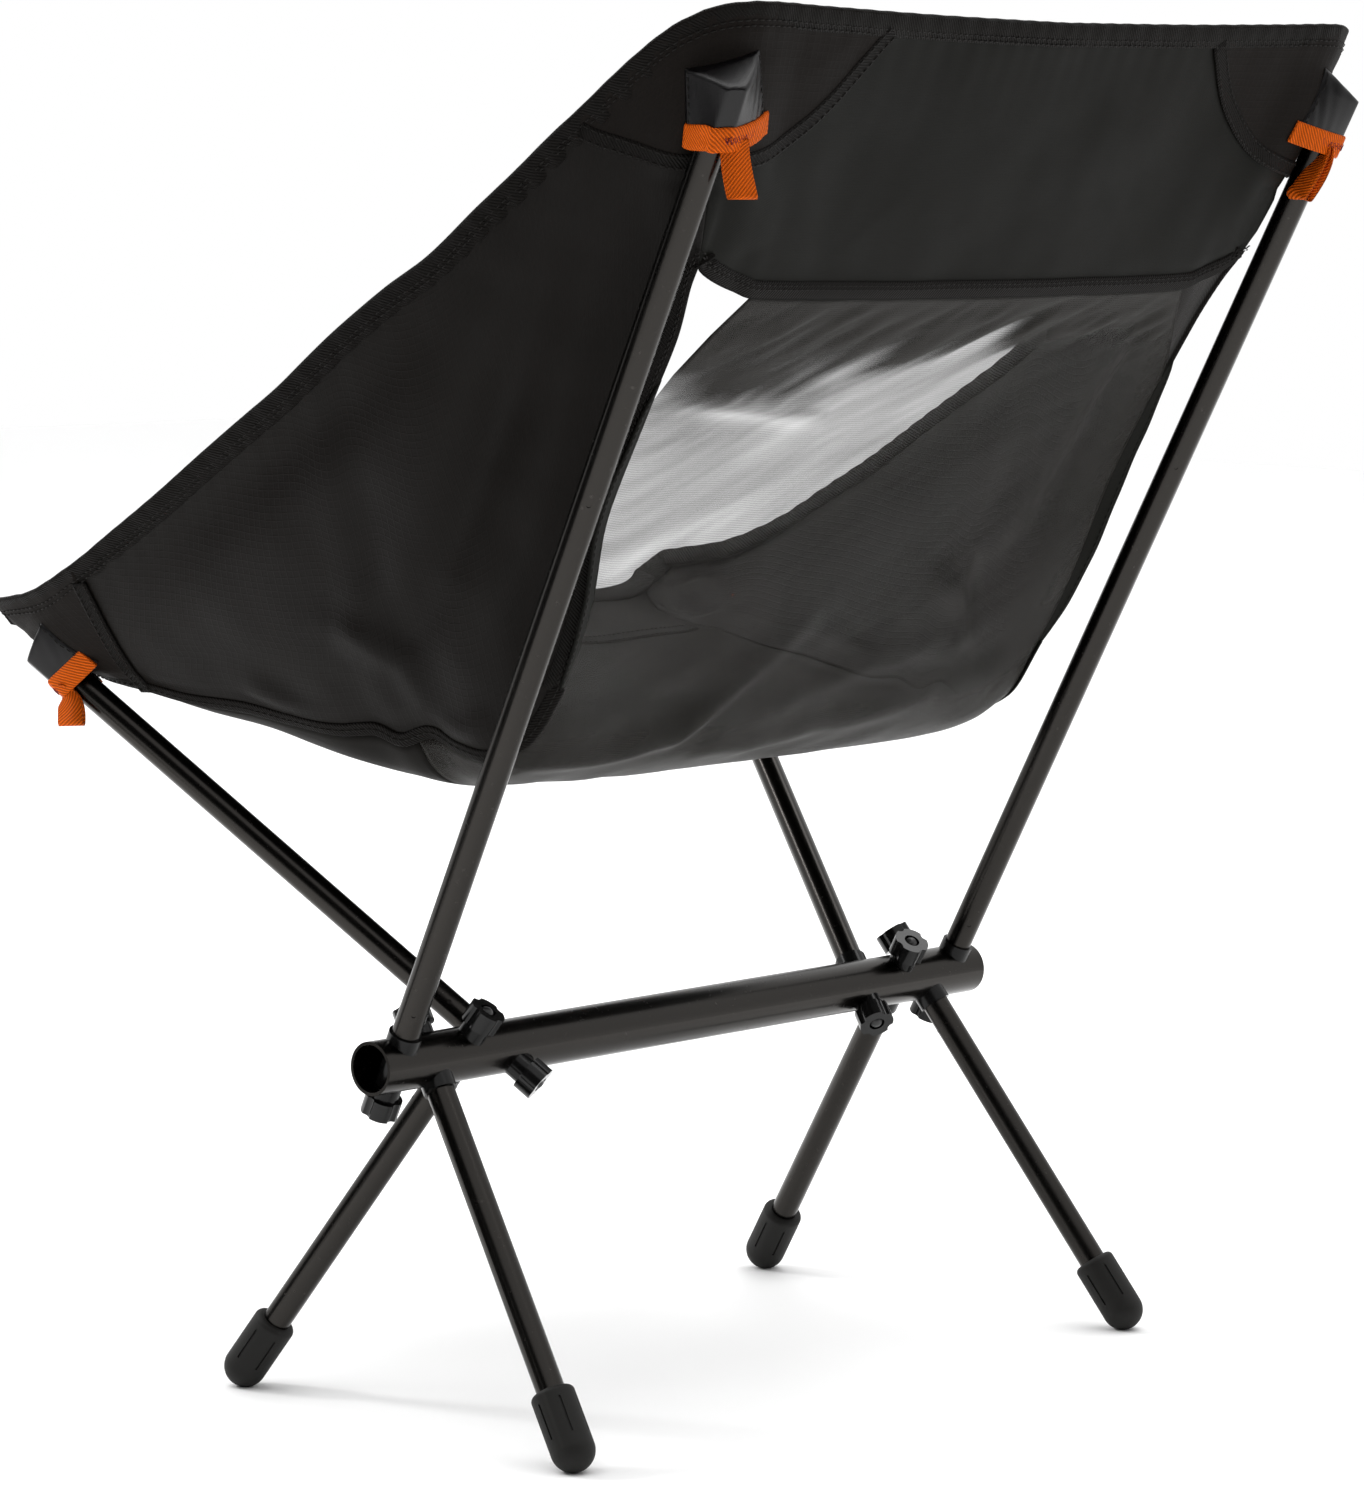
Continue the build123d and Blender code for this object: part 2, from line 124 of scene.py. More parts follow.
# ---------------------------------------------------------------- shapes
def smooth_line(points, count):
    """Evenly spaced places on a smooth line through the points, with no overshoot."""
    points = np.array(points, float)
    steps = np.diff(points, axis=0)
    gaps = np.linalg.norm(steps, axis=1)
    slopes = steps / gaps[:, None]
    tangents = np.vstack((slopes[:1], slopes))
    before, after = slopes[:-1], slopes[1:]
    same_way = before * after > 0
    near, far = 2 * gaps[1:] + gaps[:-1], gaps[1:] + 2 * gaps[:-1]
    with np.errstate(divide="ignore", invalid="ignore"):
        mean = (near + far)[:, None] / (near[:, None] / before + far[:, None] / after)
    tangents[1:-1] = np.where(same_way, mean, 0)
    knots = np.concatenate(([0], np.cumsum(gaps)))
    places = np.linspace(0, knots[-1], count)
    span = np.clip(np.searchsorted(knots, places, side="right") - 1, 0, len(gaps) - 1)
    part = ((places - knots[span]) / gaps[span])[:, None]
    length = gaps[span][:, None]
    start, end = points[span], points[span + 1]
    ease = part * part * (3 - 2 * part)
    swing = part * (1 - part)
    return (start * (1 - ease) + end * ease
            + length * swing * (tangents[span] * (1 - part) - tangents[span + 1] * part))


def lengths_along(path):
    """The distance from a path's start to each of its points."""
    return np.concatenate(([0], np.cumsum(np.linalg.norm(np.diff(path, axis=0), axis=1))))


def between(values, at, places):
    """Rows of values, known at some stations, found at other places."""
    return np.stack([np.interp(places, at, values[:, axis]) for axis in range(values.shape[1])], axis=1)


def even(path, count):
    """The same path with evenly spaced points."""
    at = lengths_along(path)
    return between(path, at, np.linspace(0, at[-1], count))


def unit(vectors):
    return vectors / np.maximum(np.linalg.norm(vectors, axis=-1, keepdims=True), 1e-12)


def mirrored(points):
    return np.asarray(points) * np.array((-1, 1, 1))


def lifted(points, normals, height):
    return points + normals * height


def grid_normals(grid):
    """The normal at each point of a grid, towards along x across."""
    return unit(np.cross(np.gradient(grid, axis=1), np.gradient(grid, axis=0)))


def on_grid(values, row, column):
    """Values of a grid between its points."""
    row, column = np.broadcast_arrays(np.asarray(row, float), np.asarray(column, float))
    low_row = np.clip(row.astype(int), 0, values.shape[0] - 2)
    low_column = np.clip(column.astype(int), 0, values.shape[1] - 2)
    up, right = (row - low_row)[..., None], (column - low_column)[..., None]
    low = values[low_row, low_column] * (1 - right) + values[low_row, low_column + 1] * right
    high = values[low_row + 1, low_column] * (1 - right) + values[low_row + 1, low_column + 1] * right
    return low * (1 - up) + high * up


# How close to its ends a fold still rises, and how full its middle is
FOLD_END, FOLD_FULLNESS = 0.03, 0.7


def fold(grid, line, width, height):
    """How far a soft fold lifts each point of a grid: a ridge along a line, fading at its ends."""
    line = np.array(line, float)
    at = lengths_along(line)
    nearest = np.full(grid.shape[:2], 1e9)
    place = np.zeros(grid.shape[:2])
    for start, end, offset in zip(line[:-1], line[1:], at):
        run = end - start
        share = np.clip(((grid - start) @ run) / (run @ run), 0, 1)
        distance = np.linalg.norm(grid - start - share[..., None] * run, axis=2)
        closer = distance < nearest
        nearest = np.where(closer, distance, nearest)
        place = np.where(closer, (offset + share * np.linalg.norm(run)) / at[-1], place)
    return height * np.exp(-(nearest / width) ** 2) * np.sin(
        math.pi * np.clip(place, FOLD_END, 1 - FOLD_END)) ** FOLD_FULLNESS


def folded(grid, folds, mirror=False):
    """The lift of several folds, given as line, width and height, and of their mirror images."""
    total = 0
    for line, width, height in folds:
        total = total + fold(grid, line, width, height)
        if mirror:
            total = total + fold(grid, mirrored(line), width, height)
    return total


def ripple(grid, size, height, seed):
    """Low uneven waves all over a grid."""
    flat = grid.reshape(-1, 3) / size + np.array((seed * 7.3, seed * 3.1, seed * 5.7))
    waves = np.array([noise.noise(Vector(point)) for point in flat])
    return height * waves.reshape(grid.shape[:2])


def ends_ease(distance, reach=8):
    """A share that rises from 0 at both ends of a run to 1 inside it."""
    return np.clip(distance / reach, 0, 1) * np.clip((distance[-1] - distance) / reach, 0, 1)


# ---------------------------------------------------------------- meshes
def shown(name, data):
    """A new object in the scene."""
    made = bpy.data.objects.new(name, data)
    bpy.context.scene.collection.objects.link(made)
    return made


# The seat's pieces, by name
PIECES = {}


def make_mesh(name, points, faces, material, uv=None):
    """A mesh object from points in millimetres, y counted from the hub."""
    mesh = bpy.data.meshes.new(name)
    placed = np.asarray(points, float).reshape(-1, 3) * MM + np.array((0, HUB_Y, 0))
    mesh.from_pydata(placed.tolist(), [], [tuple(int(i) for i in face) for face in faces])
    if uv is not None:
        layer = mesh.uv_layers.new(name="flat")
        corners = np.array([loop.vertex_index for loop in mesh.loops])
        layer.data.foreach_set("uv", (np.asarray(uv, float).reshape(-1, 2)[corners] * MM).ravel())
    mesh.polygons.foreach_set("use_smooth", [True] * len(mesh.polygons))
    mesh.materials.append(material)
    mesh.update()
    PIECES[name] = shown(name, mesh)
    return PIECES[name]


def grid_faces(rows, columns, closed=False):
    """Quads between the points of a grid, whose columns may close on themselves."""
    found = []
    for row in range(rows - 1):
        for column in range(columns if closed else columns - 1):
            beside = (column + 1) % columns
            found.append((row * columns + column, row * columns + beside,
                          (row + 1) * columns + beside, (row + 1) * columns + column))
    return found


def flat_places(grid):
    """Each grid point's place in the flat cloth, in millimetres."""
    across = np.zeros(grid.shape[:2])
    along = np.zeros(grid.shape[:2])
    across[:, 1:] = np.cumsum(np.linalg.norm(np.diff(grid, axis=1), axis=2), axis=1)
    along[1:, :] = np.cumsum(np.linalg.norm(np.diff(grid, axis=0), axis=2), axis=0)
    middle = grid.shape[1] // 2
    across -= across[:, middle:middle + 1]
    return np.stack((across, along), axis=2)


def cloth(name, grid, material, thickness=CLOTH_THICKNESS):
    """A sheet of cloth from a grid of points."""
    rows, columns = grid.shape[:2]
    piece = make_mesh(name, grid, grid_faces(rows, columns), material, uv=flat_places(grid))
    solid = piece.modifiers.new("thickness", "SOLIDIFY")
    solid.thickness = thickness * MM
    solid.offset = 0
    return piece


def beside(path, normals):
    """The way across a path that lies on a surface."""
    return unit(np.cross(normals, unit(np.gradient(path, axis=0))))


def swept(name, path, normals, section, material):
    """A closed section of (across, up) places drawn along a path on a surface."""
    section = np.array(section, float)
    rings = (path[:, None] + beside(path, normals)[:, None] * section[None, :, 0:1]
             + unit(normals)[:, None] * section[None, :, 1:2])
    count = len(section)
    faces = grid_faces(len(path), count, closed=True)
    faces.append(tuple(range(count))[::-1])
    faces.append(tuple(range((len(path) - 1) * count, len(path) * count)))
    around = lengths_along(np.vstack((section, section[:1])))[:-1]
    run = lengths_along(path)
    uv = np.stack(np.meshgrid(around, run), axis=2)
    return make_mesh(name, rings, faces, material, uv=uv)


def tape_section(width, thickness, under=0.3):
    """A flat tape's section with soft edges, its top a thickness above the surface."""
    half, edge = width / 2, min(thickness, width / 4)
    return ((-half, -under), (half, -under), (half, thickness * 0.5), (half - edge * 0.6, thickness * 0.95),
            (half * 0.5, thickness), (0, thickness * 0.96), (-half * 0.5, thickness),
            (-half + edge * 0.6, thickness * 0.95), (-half, thickness * 0.5))


# A stitch's rings, as (place along it, size), and how deep it sits in the cloth
STITCH_RINGS = ((-1, 0.3), (-0.7, 0.9), (0, 1), (0.7, 0.9), (1, 0.3))
STITCH_SIDES, STITCH_SUNK = 6, 0.45


def stitched(name, rows, material, length=2.6, pitch=3.6, radius=0.32):
    """Rows of stitches. Each row is a path on a surface and the surface's normals along it."""
    turns = np.linspace(0, 2 * math.pi, STITCH_SIDES, endpoint=False)
    points, faces = [], []
    for path, normals in rows:
        at = lengths_along(path)
        centres = np.arange(pitch / 2, at[-1], pitch)
        spots = between(path, at, centres)
        ups = unit(between(normals, at, centres))
        run = unit(between(path, at, centres + 1) - between(path, at, centres - 1))
        for spot, up, way, side in zip(spots, ups, run, np.cross(ups, run)):
            first = len(points)
            for reach, size in STITCH_RINGS:
                centre = spot + way * reach * length / 2 + up * radius * (size - STITCH_SUNK)
                for turn in turns:
                    points.append(centre + radius * size * (math.cos(turn) * side + math.sin(turn) * up))
            for face in grid_faces(len(STITCH_RINGS), STITCH_SIDES, closed=True):
                faces.append(tuple(first + i for i in face))
            faces.append(tuple(range(first, first + STITCH_SIDES))[::-1])
            faces.append(tuple(range(len(points) - STITCH_SIDES, len(points))))
    return make_mesh(name, points, faces, material)


# ---------------------------------------------------------------- materials
class Look:
    """A material. Its plain values sit on the shader itself, and each method adds nodes to it."""

    def __init__(self, name, color, roughness, metallic=0.0, specular=0.5, sheen=0.0):
        self.color = color
        self.material = bpy.data.materials.new(name)
        self.material.use_nodes = True
        self.tree = self.material.node_tree
        self.shader = self.tree.nodes["Principled BSDF"]
        for socket, value in (("Base Color", (*color, 1)), ("Roughness", roughness), ("Metallic", metallic),
                              ("Specular IOR Level", specular), ("Sheen Weight", sheen)):
            self.shader.inputs[socket].default_value = value

    def add(self, kind, links=None, **settings):
        """A node with its inputs set to values or linked to other nodes' outputs."""
        made = self.tree.nodes.new(kind)
        for key, value in settings.items():
            setattr(made, key, value)
        for socket, value in (links or {}).items():
            if isinstance(value, bpy.types.NodeSocket):
                self.tree.links.new(value, made.inputs[socket])
            else:
                made.inputs[socket].default_value = value
        return made

    def coordinates(self, kind):
        return self.add("ShaderNodeTexCoord").outputs[kind]

    def mapped(self, value, low, high, from_low=0.0, from_high=1.0):
        """A value's range stretched onto the range from low to high."""
        links = {0: value, 1: from_low, 2: from_high, 3: low, 4: high}
        return self.add("ShaderNodeMapRange", links).outputs[0]

    def grain(self, vector, scale, detail=3.0):
        return self.add("ShaderNodeTexNoise",
                        {"Vector": vector, "Scale": scale, "Detail": detail, "Roughness": 0.55}).outputs[0]

    def calc(self, operation, first, second):
        return self.add("ShaderNodeMath", {0: first, 1: second}, operation=operation).outputs[0]

    def plus(self, base, extra, share):
        """A value with a share of another added to it."""
        return self.calc("ADD", base, self.calc("MULTIPLY", extra, share))

    def ribs(self, vector, pitch, direction="X"):
        """Fine ribs at a pitch in metres, as a height from 0 to 1."""
        return self.add("ShaderNodeTexWave", {"Vector": vector, "Scale": math.pi / (10 * pitch)},
                        bands_direction=direction).outputs["Fac"]

    def drive(self, socket, output):
        self.tree.links.new(output, self.shader.inputs[socket])

    def paint(self, share, dark, light):
        """Runs the colour from a dark to a light multiple of itself, with a share from 0 to 1."""
        ramp = self.add("ShaderNodeValToRGB", {0: share})
        for element, factor in zip(ramp.color_ramp.elements, (dark, light)):
            element.color = (*(channel * factor for channel in self.color), 1)
        self.drive("Base Color", ramp.outputs[0])

    def relief(self, *layers):
        """Bumps on bumps, each a height, its strength and its distance in metres."""
        links = {}
        for height, strength, distance in layers:
            links.update({"Height": height, "Strength": strength, "Distance": distance})
            links["Normal"] = self.add("ShaderNodeBump", links).outputs[0]
        self.drive("Normal", links["Normal"])


WEAVE_PITCH, RIPSTOP_PITCH, MESH_PITCH = 0.0007, 0.0035, 0.0011
RIPSTOP_SHARPNESS, RIPSTOP_RAISED, RIPSTOP_PALER = 14, 1.5, 0.25
MESH_THREADS = 0.1
TWILL_SLANT = 0.9


def woven(name, color, roughness, specular, ripstop=False):
    """Plain-woven cloth, with a grid of raised ripstop threads when asked."""
    look = Look(name, color, roughness, specular=specular)
    flat, place = look.coordinates("UV"), look.coordinates("Object")
    height = look.calc("MULTIPLY", look.ribs(flat, WEAVE_PITCH), look.ribs(flat, WEAVE_PITCH, "Y"))
    clouds, speckle = look.grain(place, 22), look.grain(flat, 1400, detail=1)
    shade = look.plus(look.calc("MULTIPLY", clouds, 0.6), speckle, 0.4)
    if ripstop:
        threads = [look.ribs(flat, RIPSTOP_PITCH, axis) for axis in "XY"]
        raised = look.calc("MAXIMUM", *(look.calc("POWER", one, RIPSTOP_SHARPNESS) for one in threads))
        height = look.plus(height, raised, RIPSTOP_RAISED)
        shade = look.plus(shade, raised, RIPSTOP_PALER)
    look.paint(shade, 0.7, 1.3)
    look.drive("Roughness", look.mapped(clouds, roughness - 0.08, roughness + 0.08))
    look.relief((height, 0.35, 0.00012), (speckle, 0.12, 0.0002))
    return look.material


def mesh_cloth(name, color):
    """Fine open mesh that lets light through between its threads, and less where "cover" is high."""
    look = Look(name, color, 0.5, specular=0.12)
    flat = look.coordinates("UV")
    threads = look.calc("MAXIMUM", look.ribs(flat, MESH_PITCH), look.ribs(flat, MESH_PITCH, "Y"))
    share = look.add("ShaderNodeAttribute", attribute_name="cover").outputs["Fac"]
    look.drive("Alpha", look.calc("ADD", share, look.mapped(threads, -MESH_THREADS, MESH_THREADS)))
    look.paint(threads, 0.8, 1.25)
    look.relief((threads, 0.4, 0.00015))
    return look.material


def webbing_tape(name, color, pitch, specular=0.25, depth=0.35):
    """Twill tape: slanting ribs across the tape, each rib's crown paler as a painted highlight and its grooves
    darker as painted shade, with fine random tone.
    """
    look = Look(name, color, 0.6, specular=specular)
    flat = look.coordinates("UV")
    turned = look.add("ShaderNodeMapping", {"Vector": flat, "Rotation": (0, 0, TWILL_SLANT)}).outputs[0]
    height = look.plus(look.ribs(turned, pitch), look.grain(flat, 1800, detail=2), 0.5)
    # The colour follows the ribs' height: painted highlight on the crowns, painted shade in the grooves.
    look.paint(look.calc("MULTIPLY", height, 0.66), 1 - 1.3 * depth, 1 + depth)
    look.relief((height, 0.8, 0.0004))
    return look.material


def anodised(name, color, roughness):
    """Satin anodised aluminium: fine grain, faint clouding and small rubbed spots."""
    look = Look(name, color, roughness, metallic=1.0)
    place = look.coordinates("Object")
    worn = look.mapped(look.grain(place, 420, detail=4), 0, 1, 0.66, 0.74)
    look.paint(worn, 0.95, 1.5)
    look.drive("Roughness", look.plus(look.mapped(look.grain(place, 60), roughness - 0.05, roughness + 0.05),
                                      worn, 0.12))
    look.relief((look.grain(place, 2600, detail=2), 0.08, 0.00005))
    return look.material


def moulded(name, color, roughness, specular=0.5, grain=0.12):
    """Moulded plastic or rubber: fine tool grain, with edges rubbed a little paler."""
    look = Look(name, color, roughness, specular=specular)
    place = look.coordinates("Object")
    edges = look.mapped(look.add("ShaderNodeNewGeometry").outputs["Pointiness"], 0, 1, 0.52, 0.62)
    clouds = look.grain(place, 90)
    look.paint(look.plus(look.calc("MULTIPLY", edges, 0.5), clouds, 0.5), 0.8, 1.5)
    look.drive("Roughness", look.mapped(clouds, roughness - 0.06, roughness + 0.06))
    look.relief((look.grain(place, 1500, detail=2), grain, 0.0002))
    return look.material


def braided(name, color):
    """Braided cord: two crossing sets of fine diagonal strands."""
    look = Look(name, color, 0.7, specular=0.2, sheen=0.2)
    place = look.coordinates("Object")
    strands = look.calc("MULTIPLY", look.ribs(place, 0.0009, "DIAGONAL"), look.ribs(place, 0.0012, "Z"))
    look.paint(strands, 0.6, 1.6)
    look.relief((strands, 0.5, 0.0003))
    return look.material


POLE_BLACK = anodised("pole_anodised", (0.037, 0.0345, 0.032), 0.24)
BARE_METAL = anodised("spigot_aluminium", (0.55, 0.55, 0.56), 0.3)
HUB_PLASTIC = moulded("hub_plastic", (0.004, 0.004, 0.004), 0.2, specular=0.22, grain=0.05)
KNOB_PLASTIC = moulded("knob_plastic", (0.004, 0.004, 0.004), 0.16, specular=0.3, grain=0.05)
CORD_STOP = moulded("cord_stop_plastic", (0.02, 0.02, 0.02), 0.4)
CORD = braided("shock_cord", (0.03, 0.03, 0.03))
RUBBER = moulded("boot_rubber", (0.0125, 0.012, 0.011), 0.6, specular=0.2, grain=0.3)
TIP_PLASTIC = moulded("tip_cap_plastic", (0.02, 0.02, 0.02), 0.5)
WING_CLOTH = woven("wing_ripstop", (0.0044, 0.0032, 0.0023), 0.5, 0.11, ripstop=True)
BAND_CLOTH = woven("band_cloth", (0.0048, 0.0047, 0.0034), 0.58, 0.09)
PATCH_CLOTH = woven("patch_ripstop", (0.0072, 0.0055, 0.0045), 0.62, 0.07, ripstop=True)
BASE_CLOTH = woven("base_cloth", (0.0085, 0.0076, 0.0064), 0.6, 0.08)
MESH_CLOTH = mesh_cloth("mesh_cloth", (0.0145, 0.0132, 0.0112))
POCKET_CLOTH = woven("pocket_coated", (0.0035, 0.003, 0.0034), 0.3, 0.34)
BINDING = webbing_tape("binding_twill", (0.0062, 0.0052, 0.0043), 0.0013, specular=0.09)
ORANGE = webbing_tape("orange_webbing", (0.62, 0.1, 0.003), 0.0013, specular=0.08, depth=0.5)
THREAD = webbing_tape("black_thread", (0.0165, 0.0148, 0.013), 0.0004, specular=0.15)
BARTACK = webbing_tape("bartack_thread", (0.25, 0.02, 0.03), 0.0004)

NODE_MATERIALS = {
    "pole": POLE_BLACK, "spigot": BARE_METAL, "hub_plastic": HUB_PLASTIC, "knob": KNOB_PLASTIC,
    "cord_stop": CORD_STOP, "cord": CORD, "boot": RUBBER, "tip_cap": TIP_PLASTIC,
}
SLOT_OF = {row["node"]: row["material_slot"] for row in frame["record"]["subparts"]}
for node_name, node in frame["nodes"].items():
    finish = NODE_MATERIALS.get(SLOT_OF[node_name])
    if finish is None:
        continue
    node.data.materials.clear()
    node.data.materials.append(finish)

# ---------------------------------------------------------------- the seat's sides and back band
RULES = FRONT_CORNER_RULES + WING_RULES + BACK_CORNER_RULES + BAND_RULES
left_half = smooth_line([low + high for low, high in RULES], SIDE_COLUMNS)
half_low, half_high = left_half[:, :3], left_half[:, 3:]
low_edge = np.vstack((half_low, mirrored(half_low[-2::-1])))
rim = np.vstack((half_high, mirrored(half_high[-2::-1])))
COLUMNS = len(rim)


def column_at(station):
    """The column, on the left side, that is nearest a station."""
    return int(np.argmin(np.linalg.norm(half_high - np.array(station[1], float), axis=1)
                         + np.linalg.norm(half_low - np.array(station[0], float), axis=1)))


FRONT_PATCH_COLUMN = column_at(WING_RULES[0])
BACK_CORNER_COLUMN = column_at(BACK_CORNER_RULES[1])
rise = np.linspace(0, 1, SIDE_ROWS)[:, None, None]
side_cloth = low_edge * (1 - rise) + rim * rise
rule_lengths = np.linalg.norm(rim - low_edge, axis=1)


def outer_normals():
    """The sides' normals, away from the sitter."""
    normals = grid_normals(side_cloth)
    return -normals if normals[SIDE_ROWS // 2, BACK_CORNER_COLUMN // 2, 0] < 0 else normals


# Folds on the left side, mirrored on the right: line, width, height
WING_FOLDS = (
    (((207, -30, 362), (203, -8, 355), (198, 5, 345), (190, 8, 328), (184, 4, 312)), 9, 5.0),
    (((204, -90, 332), (200, -75, 325), (194, -60, 317), (189, -44, 311)), 8, 3.0),
    (((188, -30, 318), (182, -12, 316), (178, 6, 318)), 7, -3.0),
    (((182, 12, 312), (177, 30, 316), (176, 44, 326)), 8, 4.0),
    (((205, 40, 380), (212, 60, 430), (222, 90, 500)), 22, -3.0),
    (((236, -130, 368), (244, -60, 415), (246, 10, 455), (244, 70, 500)), 14, -2.2),
    (((222, -120, 350), (232, -40, 400), (236, 40, 455), (234, 100, 515)), 22, 2.6),
    (((200, -40, 330), (215, 10, 380), (232, 60, 450), (240, 100, 520)), 12, 3.2),
    (((196, 0, 335), (205, 40, 390), (222, 90, 470), (234, 130, 550)), 11, -3.4),
    (((190, 40, 345), (192, 75, 400), (204, 110, 470), (222, 150, 560)), 12, 3.6),
    (((190, 92, 420), (200, 112, 480), (212, 140, 540)), 16, -2.0),
)
# Folds that run down from the pole tips: two rise over a pole, and two dent clear of its tip cap
TIP_FOLDS = (
    (((212, 200, 614), (210, 197, 604), (208.5, 184, 577), (206, 176, 556)), 19, 6.5),
    (((232, -203, 352), (226, -190, 340), (216, -172, 328)), 17, 4.5),
    (((215, 204, 604), (214, 197, 588), (212.8, 186, 565), (212, 178, 549)), 10, -6.5),
    (((230, -201, 347), (222.6, -187.7, 335.4), (218, -178, 327)), 10, -8.6),
)
BAND_FOLDS = (
    (((205, 206, 620), (186, 190, 580), (166, 172, 525)), 14, 3.5),
    (((150, 205, 615), (120, 190, 570), (90, 178, 535)), 26, -2.0),
)
WING_BOW = 4.0
# Where the folds fade: near the lower seam, and near the hem, where a little of them stays
SEAM_EASE, HEM_EASE, HEM_SHARE = 14, 12, 0.05
# The hem's pucker: its pitch, how that drifts and over what length, how deep it reaches, its height
PUCKER_PITCH, PUCKER_DRIFT, PUCKER_DRIFT_LENGTH, PUCKER_DEPTH, PUCKER_HEIGHT = 13, 2.2, 31, 14, 0.35
outward = outer_normals()
lift = ripple(side_cloth, 70, 1.6, 1) + ripple(side_cloth, 24, 0.5, 2)
lift += folded(side_cloth, WING_FOLDS + TIP_FOLDS + BAND_FOLDS, mirror=True)
lift += WING_BOW * np.sin(math.pi * rise[:, :, 0]) * (1 - np.abs(outward[..., 1]))
from_low = rise[:, :, 0] * rule_lengths
from_rim = (1 - rise[:, :, 0]) * rule_lengths
along_rim = lengths_along(rim)
drift = PUCKER_DRIFT * np.sin(along_rim / PUCKER_DRIFT_LENGTH)
pucker = np.sin(along_rim * 2 * math.pi / PUCKER_PITCH + drift)
lift *= np.clip(from_low / SEAM_EASE, 0, 1) * np.clip(from_rim / HEM_EASE, HEM_SHARE, 1)
lift += PUCKER_HEIGHT * pucker * np.exp(-from_rim / PUCKER_DEPTH)
side_cloth = side_cloth + outward * lift[..., None]
outward = outer_normals()


def below_rim(columns, depth):
    """The row that lies a depth in millimetres below the hem, at each column."""
    columns = np.asarray(columns, float)
    return (SIDE_ROWS - 1) * (1 - depth / np.interp(columns, np.arange(COLUMNS), rule_lengths))


def above_seam(columns, height):
    """The row that lies a height in millimetres above the lower seam, at each column."""
    return (SIDE_ROWS - 1) * height / np.interp(columns, np.arange(COLUMNS), rule_lengths)


def side_line(columns, rows):
    """Points and normals along a line on the sides."""
    return on_grid(side_cloth, rows, columns), unit(on_grid(outward, rows, columns))


left_end, right_start = BACK_CORNER_COLUMN, COLUMNS - 1 - BACK_CORNER_COLUMN
cloth("side_wing_left", side_cloth[:, :left_end + 1], WING_CLOTH)
cloth("side_wing_right", side_cloth[:, right_start:], WING_CLOTH)
cloth("back_band_cloth", side_cloth[:, left_end:right_start + 1], BAND_CLOTH)

# ---------------------------------------------------------------- the sling: mesh panel and seat base
sewn = half_low[half_low[:, 2] < MESH_JOINS_WING_AT]
sewn = sewn[:np.argmax(sewn[:, 2]) + 1]
under = sewn[sewn[:, 1] < 0]
behind = sewn[sewn[:, 1] >= 0]
mesh_edge = even(np.vstack((np.array(MESH_FREE_EDGE, float), behind[::-1], under[-1:])), MESH_ROWS)
front_rule = np.linspace(half_low[0], half_high[0], FRONT_RULE_POINTS)
base_edge = even(np.vstack((under[::-1], front_rule[1:])), BASE_ROWS)


def sling(middle, edge):
    """A sheet from a middle line to the left edge and its mirror image."""
    rows = len(edge)
    centre = smooth_line(middle, rows)
    share = np.linspace(-1, 1, SLING_COLUMNS)[None, :]
    bend = SLING_BOW * share ** 2 + (1 - SLING_BOW) * share ** SLING_WALL
    grid = np.zeros((rows, SLING_COLUMNS, 3))
    grid[..., 0] = share * edge[:, 0:1]
    for axis in (1, 2):
        grid[..., axis] = centre[:, axis:axis + 1] * (1 - bend) + edge[:, axis:axis + 1] * bend
    return grid


mesh_grid = sling(MESH_MIDDLE, mesh_edge)
base_grid = sling(BASE_MIDDLE, base_edge)


def facing(grid, way):
    """A grid's normals, turned to the given side."""
    normals = grid_normals(grid)
    middle = normals[grid.shape[0] // 2, grid.shape[1] // 2]
    return normals if middle @ np.array(way, float) > 0 else -normals


MESH_FOLDS = (
    (((176, 50, 300), (120, 55, 302), (81, 60, 310), (56, 72, 333), (27, 83, 355), (10, 90, 370)), 9, 7.0),
    (((20, 62, 318), (-7, 69, 326), (-41, 74, 337), (-80, 78, 342), (-125, 80, 346)), 9, 5.0),
    (((150, 70, 330), (110, 78, 345), (80, 88, 365)), 12, -3.5),
    (((60, 48, 300), (0, 50, 302), (-60, 56, 310), (-110, 62, 320)), 9, 3.5),
    (((168, 134, 468), (140, 133, 465), (96, 130, 460), (60, 128, 456)), 4.5, 2.6),
    (((165, 128, 458), (120, 126, 454), (70, 124, 450)), 6, -2.0),
    (((-150, 60, 316), (-120, 66, 325), (-90, 80, 350)), 10, 3.0),
)
CREASE = np.array(MESH_FOLDS[4][0], float)
# How much of the light the mesh stops: in the open, in its close part under the band, under the
# seat, and at its limits. The streaks, the close part's fading, and the crease change it.
MESH_COVER, CLOSE_COVER, LOW_COVER, COVER_LIMITS = 0.3, 0.655, 0.85, (0.12, 0.97)
MESH_DARK_BELOW = 322
# The gathers under the band: how deep the close cloth reaches at the right and at the left, where
# it begins to deepen and over what width, and the slant of its streaks
GATHER_DEPTH, GATHER_DEEPENS_FROM, GATHER_DEEPENS_OVER, STREAK_SLANT = (25.0, 57.0), -25.0, 170.0, 0.48
GATHER_RIDGES_AT, GATHER_RIDGES_SPREAD = 16, 300
# The lit gap right under the band: its place, its width and how much of the cover it takes away
GAP_AT, GAP_WIDTH, GAP_TAKES = 1.0, 1.3, 0.12
